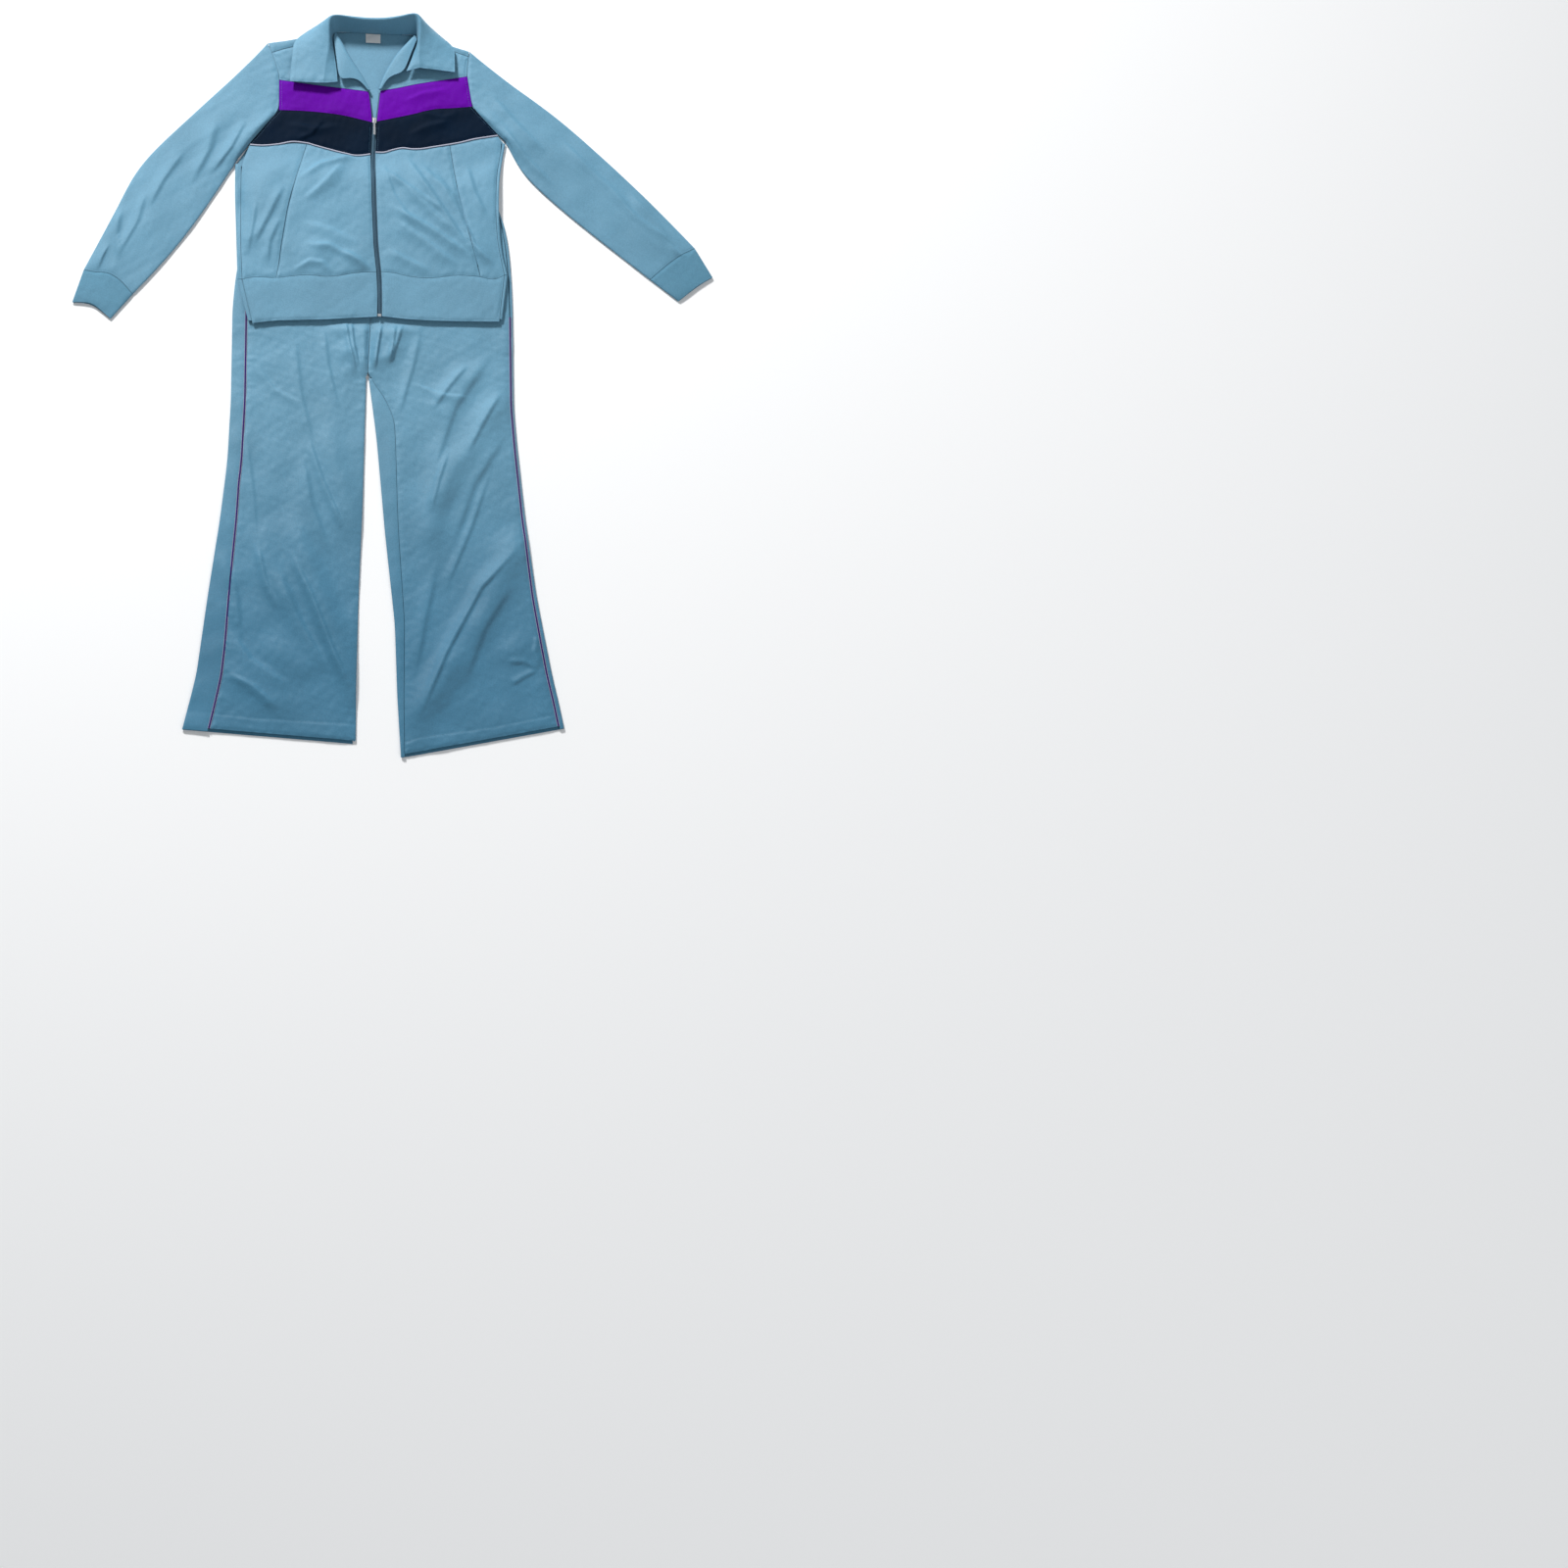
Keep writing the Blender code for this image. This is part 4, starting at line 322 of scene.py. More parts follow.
PIPING_EDGE_OUT, PIPING_EDGE_UP, PIPING_EDGE_R = 0.19, 0.02, 0.03
LEG_PIPING_R, BAND_PIPING_R = 0.15, 0.13
FLOOR_DROP = 0.0002
ROOM_LIGHT, ROOM_COLOUR = 0.30, (0.92, 0.96, 1.0, 1.0)
FLOOR_COLOUR = (0.93, 0.93, 0.93, 1.0)
LAMPS = [("key", (-2.0, 4.2, 3.1), 0.9, 400.0), ("fill", (3.0, -2.4, 4.5), 4.0, 75.0)]
PURPLE_DARK = (0.025, 0.002, 0.120)
# painted shade: the trousers' colour is darkened towards the hems, where the light falls off
HEM_SHADE_SHARE = (0.46, 0.66, 0.74)  # share of the trousers' colour that is left at the hems
POCKET_MOUTH = 0.20    # width of the dark slit of a pocket
MOUTH_RUN = 1.5        # length over which the slit opens at each end
BAG_WIDE, BAG_COLUMNS, BAG_ROWS = 9.0, 5, slice(1, 7)
BAG_BEHIND, BAG_BELOW_SEAM, BAG_ON_BACK = 0.6, 0.09, 0.28
THIN_WALL = 0.10       # pocket bags, zip tapes and label
ROLL_OUT = Point(0.86, 0.50)   # way in which the yoke rolls out, on the wearer's right
PIPING_SHORT, PIPING_SHORT_ZIP = 0.25, 0.05    # how far the piping stops short of the side and the zip
BACK_BAND_SIDE = {"right": path(-22.03, 9.77, -23.8, 17.6), "left": path(22.46, 11.35, 23.4, 19.9)}
ARMPIT_BULGE, ARM_OUT, ARMPIT_UP = 0.30, 0.08, 0.38    # at the top of a sleeve
ARM_RUN = 0.06         # share of a sleeve over which it leaves the body's height
CROWD_FROM, CROWD_RUN, CROWD_PACE = -12.0, 14.0, 1.7    # a leg's columns crowd towards the crotch
PIPING_FROM_ROW = 6    # the leg piping starts under the jacket
FAR_IN = 9.0           # stands for the distance to an edge that isn't there
FOLDS_END_Y, FOLDS_END_RUN = 8.6, 1.3  # the trousers' folds end under the jacket
INNER_PACE = 1.6       # the sleeve's rows start closer together on its inner side
CUFF_ROWS = [0.012, 0.12, 0.55, 1.0]
BACK_NECK_Z, NECK_IN, NECK_UP = 0.5, 0.35, 0.14    # the collar's neck edge lies on the back there
CREST_DROP = 0.13
WAIST_COLUMNS = 12
LABEL_ROWS, LABEL_COLUMNS = [(65.25, 0.50), (66.2, 0.36), (67.1, 0.24)], [-1.75, -0.4, 0.95]
TAPE_ROWS, TAPE_BELOW, TAPE_UNDER, TAPE_OFF_LINE = 14, 0.1, 0.25, 0.05
TAPE_ABOVE = (0.30, -0.22, 0.3)        # above the slider: outer edge, inner edge, and drop
SEAM_ALLOWED, EDGE_ALLOWED, POCKET_ALLOWED, ARM_ALLOWED = 0.35, 0.5, 0.55, 0.45    # seam to stitches
ZIP_STITCH_YS = [11.6, 20, 30, 40, 48.5]
THREAD_BLUE = (0.085, 0.215, 0.310)
BLUE = (0.118, 0.283, 0.402)
BLUE_DEEP = (0.085, 0.240, 0.350)
PURPLE = (0.120, 0.001, 0.330)
BLACK = (0.001, 0.008, 0.022)
PALE = (0.450, 0.460, 0.560)
WHITE = (0.800, 0.820, 0.820)
TAPE = (0.060, 0.130, 0.190)
TOWARD = {"right": 1, "left": -1}      # way along x from a side to the middle
PIECES = {}            # finished cloth by the name of the node that it replaces
LEG_PIPING = {}        # path of the piping down each leg


def plan_point(x, y, z):
    """A place on the plan, in centimetres, as a place in the frame, in metres."""
    return Vector((x + SHIFT_X, y + SHIFT_Y, z)) * CM


def lengths(line):
    """Length on the plan from the start of a line to each of its points."""
    steps = [0.0]
    for a, b in zip(line, line[1:]):
        steps.append(steps[-1] + hypot(b[0] - a[0], b[1] - a[1]))
    return steps


def spline(points, share):
    """The point at a share of the length of a smooth line through the points."""
    steps = lengths(points)
    reach = min(max(share, 0.0), 1.0) * steps[-1]
    k = 0
    while k < len(points) - 2 and reach > steps[k + 1]:
        k += 1
    t = (reach - steps[k]) / (steps[k + 1] - steps[k])
    before = points[max(k - 1, 0)]
    after = points[min(k + 2, len(points) - 1)]
    a, b = points[k], points[k + 1]
    out = []
    for c in range(len(a)):
        ta = (b[c] - before[c]) / 2
        tb = (after[c] - a[c]) / 2
        out.append(a[c] * (1 + 2 * t) * (1 - t) ** 2 + ta * t * (1 - t) ** 2
                   + b[c] * t * t * (3 - 2 * t) - tb * t * t * (1 - t))
    return out


def spread(points, count):
    """Points that part a smooth line into equal lengths."""
    return [spline(points, k / count) for k in range(count + 1)]


def across(points, y):
    """x of an outline at a height y, its points given from low y to high y."""
    if y <= points[0].y:
        return points[0].x
    for a, b in zip(points, points[1:]):
        if y <= b.y:
            t = (y - a.y) / (b.y - a.y)
            return a.x + (b.x - a.x) * t
    return points[-1].x


def lerp(a, b, t):
    return [p + (q - p) * t for p, q in zip(a, b)]


def smooth(t):
    """A soft step from 0 to 1."""
    t = min(max(t, 0.0), 1.0)
    return t * t * (3 - 2 * t)


def fold_height(folds, x, y):
    """Sum of the ridges and troughs at a place, each fading out at its ends."""
    total = 0.0
    gain = FOLD_GAIN if folds is TROUSER_FOLDS else 1.0
    for f in folds:
        run = hypot(f.x1 - f.x0, f.y1 - f.y0)
        ux, uy = (f.x1 - f.x0) / run, (f.y1 - f.y0) / run
        along = ((x - f.x0) * ux + (y - f.y0) * uy) / run
        side = (x - f.x0) * -uy + (y - f.y0) * ux
        if -0.1 < along < 1.1 and abs(side) < 3 * f.half_width:
            fade = smooth((along + 0.1) / 0.3) * smooth((1.1 - along) / 0.3)
            total += gain * f.height * fade * exp(-(side / f.half_width) ** 2)
    return total


def lift(x, y):
    """Height of the jacket's underside: on the floor, or up on the trousers."""
    right = smooth((x - across(LEG_OUTER["right"], y) + RAMP) / RAMP)
    left = smooth((across(LEG_OUTER["left"], y) + RAMP - x) / RAMP)
    return ON_TROUSERS * right * left * smooth((WAIST_TOP_Y + 4.2 - y) / 3.2)


def crown(distance):
    """Extra height of the cloth at a distance from its edge."""
    return CROWN * (1 - exp(-max(distance, 0.0) / CROWN_RUN))


def jacket_height(x, y):
    """Outer face of the jacket's upper layer."""
    armpit = RIGHT_EDGE[-1].y
    inside = min(x - across(RIGHT_EDGE, y), across(LEFT_EDGE, y) - x)
    rise = crown(inside - EDGE_R) if y < armpit else crown(inside - EDGE_R + (y - armpit))
    return lift(x, y) + LAYERED + rise + fold_height(JACKET_FOLDS, x, y)


def ease(t):
    """The same step as smooth, for many values at once."""
    t = np.clip(t, 0.0, 1.0)
    return t * t * (3 - 2 * t)


def crease_height(crease, x, y):
    """Height of one crease at many places: it fades out at its ends and is steeper on one side."""
    best = np.full(x.shape, 1e9)
    side = np.zeros(x.shape)
    along = np.zeros(x.shape)
    steps = lengths(crease.path)
    for (ax, ay), (bx, by), done, end in zip(crease.path, crease.path[1:], steps, steps[1:]):
        run = end - done
        ux, uy = (bx - ax) / run, (by - ay) / run
        t = np.clip((x - ax) * ux + (y - ay) * uy, 0.0, run)
        away = np.hypot(x - ax - t * ux, y - ay - t * uy)
        near = away < best
        best = np.where(near, away, best)
        side = np.where(near, (x - ax) * -uy + (y - ay) * ux, side)
        along = np.where(near, (done + t) / steps[-1], along)
    width = crease.half_width * np.where(side > 0, STEEP_SIDE, GENTLE_SIDE)
    fade = ease(along / CREASE_FADE) * ease((1 - along) / CREASE_FADE)
    return CREASE_GAIN * crease.height * fade * np.exp(-(best / width) ** 2)


def waves(x, y, size, seed):
    """Uneven swell of about one unit high, whose waves are about size centimetres across."""
    rng = np.random.default_rng(seed)
    total = np.zeros(x.shape)
    for _ in range(WAVE_COUNT):
        angle, phase, stretch = rng.uniform(0, pi), rng.uniform(0, 2 * pi), rng.uniform(0.7, 1.5)
        total += np.sin((x * cos(angle) + y * sin(angle)) * 2 * pi / (size * stretch) + phase)
    return total / WAVE_COUNT ** 0.5


def border_points(mesh):
    """Places of the vertices on a mesh's open border."""
    used = np.zeros(len(mesh.loops), int)
    mesh.loops.foreach_get("edge_index", used)
    counts = np.bincount(used, minlength=len(mesh.edges))
    found = set()
    for index in np.nonzero(counts == 1)[0]:
        found.update(mesh.edges[int(index)].vertices)
    return [mesh.vertices[i].co.copy() for i in sorted(found)]


def relief(name, mesh):
    """Creases, swell, seam puckers and doubled hems, as moves of a fine skin's vertices."""
    count = len(mesh.vertices)
    places, normals = np.zeros(count * 3), np.zeros(count * 3)
    mesh.vertices.foreach_get("co", places)
    mesh.vertex_normals.foreach_get("vector", normals)
    places, normals = places.reshape(-1, 3), normals.reshape(-1, 3)
    x, y = places[:, 0] / CM - SHIFT_X, places[:, 1] / CM - SHIFT_Y
    leg = "leg" in name
    upward = ease((normals[:, 2] - UPWARD_FROM) / UPWARD_SPAN)
    rise = np.zeros(count)
    for crease in LEG_CREASES if leg else JACKET_CREASES:
        rise += crease_height(crease, x, y)
    rise += SWELL * waves(x, y, SWELL_SIZE, SWELL_SEED) + RIPPLE * waves(x, y, RIPPLE_SIZE, RIPPLE_SEED)
    if leg:
        rise *= 1 - ease((y - HEM_COVER_Y) / 2.0)
        line_x, line_y = zip(*LEG_HEM_STITCHES[name.split("_")[0]])
        off = y - np.interp(x, line_x, line_y)
        rise += HEM_STEP * (1 - ease((off + 0.1) / 0.3)) - STITCH_SINK * np.exp(-(off / STITCH_DENT) ** 2)
    border = border_points(mesh)
    if border:
        tree = KDTree(len(border))
        for i, place in enumerate(border):
            tree.insert(place, i)
        tree.balance()
        found = [tree.find(p)[0::2] for p in places]
        edge_x = np.array([f[0].x for f in found]) / CM
        edge_y = np.array([f[0].y for f in found]) / CM
        depth = np.array([f[1] for f in found]) / CM
        pucker = waves(edge_x, edge_y, PUCKER_SIZE, PUCKER_SEED) * np.exp(-(depth / PUCKER_REACH))
        rise += PUCKER * pucker * ease(depth / 0.25) - SEAM_SINK * np.exp(-(depth / SEAM_ROUND) ** 2)
    places[:, 2] += np.maximum(rise, LOWEST) * upward * CM
    mesh.vertices.foreach_set("co", places.reshape(-1))
    mesh.update()


def baked(obj):
    """Replace an object's mesh by what its modifiers make of it."""
    made = bpy.data.meshes.new_from_object(obj.evaluated_get(bpy.context.evaluated_depsgraph_get()))
    old = obj.data
    obj.modifiers.clear()
    obj.data = made
    bpy.data.meshes.remove(old)
    return made


def settle(obj, node, mat, body="suit"):
    """Give a piece its material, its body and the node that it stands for."""
    obj.data.materials.clear()
    obj.data.materials.append(mat)
    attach(obj, body)
    if node:
        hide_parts(node)
    return obj


def new_object(name, data):
    obj = bpy.data.objects.new(name, data)
    bpy.context.scene.collection.objects.link(obj)
    return obj


def from_bmesh(name, bm):
    mesh = bpy.data.meshes.new(name)
    bm.to_mesh(mesh)
    bm.free()
    return new_object(name, mesh)


def cloth(name, grids, wall, mat, flip=False, closed=False):
    """One piece of cloth: a coarse skin made fine, given its relief and its wall."""
    bm = bmesh.new()
    for grid in grids:
        rows = [[bm.verts.new(plan_point(*p)) for p in row] for row in grid]
        count = len(rows[0])
        for lower, upper in zip(rows, rows[1:]):
            for c in range(count if closed else count - 1):
                d = (c + 1) % count
                face = [lower[c], lower[d], upper[d], upper[c]]
                bm.faces.new(face[::-1] if flip else face)
    bmesh.ops.remove_doubles(bm, verts=bm.verts, dist=0.00002)
    obj = from_bmesh(name + "_cloth", bm)
    fine = obj.modifiers.new("fine", "SUBSURF")
    fine.levels = SUBDIVISIONS.get(name, FINE)
    fine.boundary_smooth = "PRESERVE_CORNERS"
    relief(name, baked(obj))
    shell = obj.modifiers.new("wall", "SOLIDIFY")
    shell.thickness = wall * CM
    shell.offset = -1.0
    shell.use_even_offset = "sleeve" not in name
    made = baked(obj)
    for vert in made.vertices:
        vert.co.z = max(vert.co.z, 0.0)
    made.shade_smooth()
    made.set_sharp_from_angle(angle=radians(50))
    PIECES[name] = settle(obj, name, mat)
    return obj


def coons(low, high, start, end):
    """Plan points filling four boundary lines: low and high by column, start and end by row."""
    low, high = [list(p) for p in low], [list(p) for p in high]
    for line, r in ((low, 0), (high, -1)):
        line[0], line[-1] = list(start[r]), list(end[r])
    columns, rows = len(low) - 1, len(start) - 1
    grid = []
    for r in range(rows + 1):
        t = r / rows
        line = []
        for c in range(columns + 1):
            s = c / columns
            corners = lerp(lerp(low[0], low[-1], s), lerp(high[0], high[-1], s), t)
            ruled = zip(lerp(low[c], high[c], t), lerp(start[r], end[r], s), corners)
            line.append([up + over - corner for up, over, corner in ruled])
        grid.append(line)
    return grid


def draw_in(point, other, depth, axis):
    """Move a point towards another by a depth measured along one axis."""
    point[:] = lerp(point, other, depth / abs(other[axis] - point[axis]))


def trim(grid, low=HALF_GAP, high=HALF_GAP):
    """Draw the border of a plan grid in by half a seam gap, or more at its low or high end."""
    for border, near, depth in ((grid[0], grid[1], low), (grid[-1], grid[-2], high)):
        for point, other in zip(border, near):
            draw_in(point, other, depth, 1)
    for row in grid:
        draw_in(row[0], row[1], HALF_GAP, 0)
        draw_in(row[-1], row[-2], HALF_GAP, 0)
    return grid


def raised(grid):
    """A plan grid laid on the upper face of the jacket."""
    return [[(x, y, jacket_height(x, y)) for x, y in row] for row in grid]


def armhole_points(side):
    """Armhole points from the shoulder edge to the armpit, row by row of the fronts."""
    line = RIGHT_ARMHOLE if side == "right" else LEFT_ARMHOLE
    points = [list(line[0])]
    stretches = ((YOKE_TOP, YOKE_LOW, YOKE_ROWS), (YOKE_LOW, PURPLE_LOW, BAND_ROWS),
                 (PURPLE_LOW, BLACK_LOW, BAND_ROWS))
    for first, last, count in stretches:
        points += spread(line[first:last + 1], count)[:-1]
    points.append(list(line[BLACK_LOW]))
    points.append(list(line[ARMPIT]))
    return points


def front_lines(side):
    """Column points along each seam that crosses a front, from low x to high x."""
    counts = (SIDE_COLUMNS, CENTRE_COLUMNS) if side == "right" else (CENTRE_COLUMNS, SIDE_COLUMNS)

    def split(line, cut):
        first = [p for p in line if p.x < cut.x - 0.4] + [cut]
        second = [cut] + [p for p in line if p.x > cut.x + 0.4]
        return spread(first, counts[0]) + spread(second, counts[1])[1:]

    pocket, total = POCKET_SEAM[side], sum(counts)
    return {"hem": split(HEM[side], HEM_CUT[side]), "band": split(BAND_SEAM[side], pocket[0]),
            "black": split(BLACK_HEM[side], pocket[-1]), "purple": spread(PURPLE_HEM[side], total),
            "yoke": spread(YOKE_HEM[side], total), "shoulder": spread(SHOULDER_SEAM[side], total)}


def zip_edge(side, low, high, rows):
    """Edge of a front along the zip between two heights."""
    shift = -ZIP_OPENING if side == "right" else ZIP_OPENING
    out = []
    for r in range(rows + 1):
        y = low + (high - low) * r / rows
        out.append([across(ZIP, y) + shift, y])
    return out


def side_rows(side):
    """Heights of the rows of a lower front along its side seam, up to the armpit and above."""
    seam = RIGHT_SIDE_SEAM if side == "right" else LEFT_SIDE_SEAM
    low, armpit, top = seam[1].y, seam[-2].y, seam[-1].y
    rows = [low + (armpit - low) * r / FRONT_ROWS for r in range(FRONT_ROWS + 1)]
    return [[across(seam, y), y] for y in rows] + [[seam[-1].x, top]]


def make_front(side):
    """The pieces of one front: hem band, two lower panels, black and purple bands, yoke."""
    lines = front_lines(side)
    cut = SIDE_COLUMNS if side == "right" else CENTRE_COLUMNS
    flank = side_rows(side)
    rows = len(flank) - 1
    arm = armhole_points(side)
    low_yoke, low_purple = 1 + YOKE_ROWS, 1 + YOKE_ROWS + BAND_ROWS
    yoke_flank = arm[1:low_yoke + 1][::-1]
    purple_flank = arm[low_yoke:low_purple + 1][::-1]
    black_flank = arm[low_purple:low_purple + BAND_ROWS + 1][::-1]

    def zip_side(low, high, count):
        a, b = lines[low], lines[high]
        end = -1 if side == "right" else 0
        return zip_edge(side, a[end][1], b[end][1], count)

    def panel(name, low, high, outer, inner, wall, mat, trims=(HALF_GAP, HALF_GAP)):
        start, end = (outer, inner) if side == "right" else (inner, outer)
        cloth(f"{side}_{name}", [raised(trim(coons(low, high, start, end), *trims))], wall, mat)

    pocket = POCKET_SEAM[side]
    pocket_line = [spline(pocket, r / rows) for r in range(rows + 1)]
    band_flank = spread([Point(*lines["hem"][0 if side == "right" else -1]), Point(*flank[0])], BAND_ROWS)
    panel("hem_band", lines["hem"], lines["band"], band_flank, zip_side("hem", "band", BAND_ROWS),
          DOUBLE_WALL, RIB)
    halves = [(lines["band"][part], lines["black"][part]) for part in (slice(cut + 1), slice(cut, None))]
    (side_low, side_high), (mid_low, mid_high) = halves if side == "right" else halves[::-1]
    toward = TOWARD[side]
    mouth = []
    for x, y in pocket_line:
        slit = smooth((y - POCKET_LOW_Y) / MOUTH_RUN) * smooth((POCKET_TOP_Y - y) / MOUTH_RUN)
        mouth.append([x - toward * POCKET_MOUTH * slit, y])
    panel("front_side", side_low, side_high, flank, mouth, WALL, JERSEY, (HALF_GAP, PIPING_SLOT))
    panel("front_centre", mid_low, mid_high, pocket_line, zip_side("band", "black", rows), WALL, JERSEY,
          (HALF_GAP, PIPING_SLOT))
    panel("black_band", lines["black"], lines["purple"], black_flank,
          zip_side("black", "purple", BAND_ROWS), WALL, BLACK_JERSEY, (PIPING_SLOT, HALF_GAP))
    opening = [spline(OPENING[side], r / BAND_ROWS) for r in range(BAND_ROWS + 1)]
    opening[0] = zip_side("black", "purple", 1)[1]
    panel("purple_band", lines["purple"], lines["yoke"], purple_flank, opening, WALL, PURPLE_JERSEY)
    make_yoke(side, lines, yoke_flank)
    make_pocket_bag(side, pocket_line)
    make_band_piping(side, lines["black"], black_flank[0], zip_side("black", "purple", 1)[0])


def make_yoke(side, lines, flank):
    """Yoke with the front edge rolled out at the neck, so that its inner face shows."""
    rolls = NECK_ROLL[side]
    fold = [[r.fold_x, r.fold_y] for r in rolls]
    start, end = (flank, fold) if side == "right" else (fold, flank)
    grid = coons(lines["yoke"], lines["shoulder"], start, end)
    for row in grid:
        outer = 0 if side == "right" else -1
        row[outer][0] += HALF_GAP if side == "right" else -HALF_GAP
    for point in grid[0]:
        point[1] += HALF_GAP
    for point in grid[-1]:
        point[1] -= 2 * HALF_GAP
    rows = []
    toward = TOWARD[side]
    for r, (row, roll) in enumerate(zip(grid, rolls)):
        line = [(x, y, jacket_height(x, y)) for x, y in row]
        if side == "left":
            line.reverse()
        x, y, z = line[-1]
        radius = roll.depth / 2
        for out, up in TURN:
            line.append((x + toward * ROLL_OUT.x * out * radius, y + ROLL_OUT.y * out * radius,
                         z + radius * up))
        top = z + roll.depth
        for share in (0.0, 0.5, 1.0):
            px, py = lerp((x, y), (roll.end_x, roll.end_y), share)
            line.append((px, py, top))
        rows.append(line)
    cloth(f"{side}_yoke", [rows], WALL, JERSEY, flip=(side == "left"))


def make_pocket_bag(side, pocket_line):
    """Pocket bag hung from its seam, flat on the back under the centre panel."""
    toward = TOWARD[side]
    grid = []
    for x, y in pocket_line[BAG_ROWS]:
        line = []
        for c in range(BAG_COLUMNS + 1):
            px = x + toward * (BAG_WIDE * c / BAG_COLUMNS - BAG_BEHIND)
            hung = jacket_height(px, y) - WALL - BAG_BELOW_SEAM
            line.append((px, y, hung if c < 1 else lift(px, y) + BAG_ON_BACK))
        grid.append(line if side == "right" else line[::-1])
    cloth(f"{side}_pocket_bag", [grid], THIN_WALL, JERSEY)


def cord(name, points, radius, mat, node=True):
    """Piping cord through points in centimetres, as a smooth tube that may replace its node."""
    curve = bpy.data.curves.new(name + "_cord", "CURVE")
    curve.dimensions = "3D"
    curve.bevel_depth = radius * CM
    curve.bevel_resolution = 2
    curve.use_fill_caps = True
    line = curve.splines.new("POLY")
    fine = spread(points, CORD_STEPS)
    line.points.add(len(fine) - 1)
    for target, p in zip(line.points, fine):
        target.co = (*plan_point(*p), 1.0)
    obj = new_object(name + "_cord", curve)
    made = bpy.data.meshes.new_from_object(obj.evaluated_get(bpy.context.evaluated_depsgraph_get()))
    bpy.data.objects.remove(obj)
    bpy.data.curves.remove(curve)
    made.shade_smooth()
    obj = new_object(name + "_cord", made)
    return settle(obj, name if node else None, mat)


def make_band_piping(side, line, outer, inner):
    """Piping set into the lower seam of the black band."""
    points = [list(p) for p in line]
    ends = (outer, inner) if side == "right" else (inner, outer)
    points[0], points[-1] = list(ends[0]), list(ends[1])
    points[0][0] += PIPING_SHORT if side == "right" else PIPING_SHORT_ZIP
    points[-1][0] -= PIPING_SHORT_ZIP if side == "right" else PIPING_SHORT
    cord(f"{side}_band_piping", [(x, y, jacket_height(x, y) - PIPING_SUNK) for x, y in points],
         BAND_PIPING_R, PIPING)


def back_row(right, left):
    """One row of the back across the plan, with closer columns where it slopes near the sides."""
    low_x, high_x = right[0] + EDGE_COLUMNS[-1], left[0] - EDGE_COLUMNS[-1]
    columns = [right[0] + inset for inset in EDGE_COLUMNS]
    columns += [low_x + (high_x - low_x) * share for share in BACK_SHARES]
    columns += [left[0] - inset for inset in EDGE_COLUMNS[::-1]]
    slope = (left[1] - right[1]) / (left[0] - right[0])
    return [(x, right[1] + slope * (x - right[0])) for x in columns]


def spline_y(points, x):
    """Height of a line on the plan at a place across it."""
    for a, b in zip(points, points[1:]):
        if x <= b.x:
            return a.y + (b.y - a.y) * (x - a.x) / (b.x - a.x)
    return points[-1].y


def make_back():
    """Back panel on the floor, turned up round both sides and over the shoulders."""
    right_rows, left_rows = side_rows("right")[:-1], side_rows("left")[:-1]
    base = []
    for (_, y_r), (_, y_l) in zip(right_rows, left_rows):
        row = back_row((across(RIGHT_EDGE, y_r) + EDGE_R, y_r), (across(LEFT_EDGE, y_l) - EDGE_R, y_l))
        base.append([(x, y, lift(x, y)) for x, y in row])
    base[0] = [(x, y + HALF_GAP, z) for x, y, z in base[0]]
    grids = [side_turn("right", right_rows, RIGHT_EDGE, base, 0),
             side_turn("left", left_rows, LEFT_EDGE, base, -1)]
    arm_r, arm_l = armhole_points("right"), armhole_points("left")
    for k in ARM_UNDER[1:-1]:
        row = back_row((arm_r[k][0] + SEWN, arm_r[k][1]), (arm_l[k][0] - SEWN, arm_l[k][1]))
        base.append([(x, y, lift(x, y)) for x, y in row])
    top = back_row((BACK_TOP[0].x + SEWN, 0.0), (BACK_TOP[-1].x - SEWN, 0.0))
    base.append([(x, spline_y(BACK_TOP, x) - EDGE_R, 0.0) for x, _ in top])
    grids.append(base)
    grids.append(shoulder_turn("right", base[-1][:NECK_COLUMN + 1]))
    grids.append(shoulder_turn("left", base[-1][-NECK_COLUMN - 1:]))
    cloth("jacket_back", grids, WALL, JERSEY, flip=True)


def side_turn(side, rows, edge, base, column):
    """Grid from the bottom of a side, round its edge and in to the side seam on top."""
    away = -TOWARD[side]
    grid = []
    for r, (seam_x, _) in enumerate(rows):
        x0, y0, z0 = base[r][column]
        top = jacket_height(x0, y0)
        line = [(x0, y0, z0)]
        for out, up in TURN:
            line.append((x0 + away * out * EDGE_R, y0, z0 + (top - z0) / 2 * up))
        line.append((x0, y0, top))
        end = seam_x + away * HALF_GAP
        line.append((end, y0, jacket_height(end, y0)))
        grid.append(line[::-1] if side == "right" else line)
    return grid


def shoulder_turn(side, base_row):
    """One shoulder: from the floor over its edge to the shoulder seam on the front."""
    seam = SHOULDER_SEAM[side]
    low_x = seam[0].x + (SEWN if side == "right" else 0.0)
    high_x = seam[1].x - (SEWN if side == "left" else 0.0)
    rows = [list(base_row)]
    for out, up in TURN + [(0.0, 2.0)]:
        rows.append([(x, y + out * EDGE_R, z + (jacket_height(x, y) - z) / 2 * up)
                     for x, y, z in base_row])
    front = []
    for x, _, _ in base_row:
        share = (x - base_row[0][0]) / (base_row[-1][0] - base_row[0][0])
        sx = low_x + (high_x - low_x) * share
        sy = seam[0].y + (seam[1].y - seam[0].y) * (sx - seam[0].x) / (seam[1].x - seam[0].x)
        front.append((sx, sy + HALF_GAP, jacket_height(sx, sy)))
    rows.append(front)
    return rows


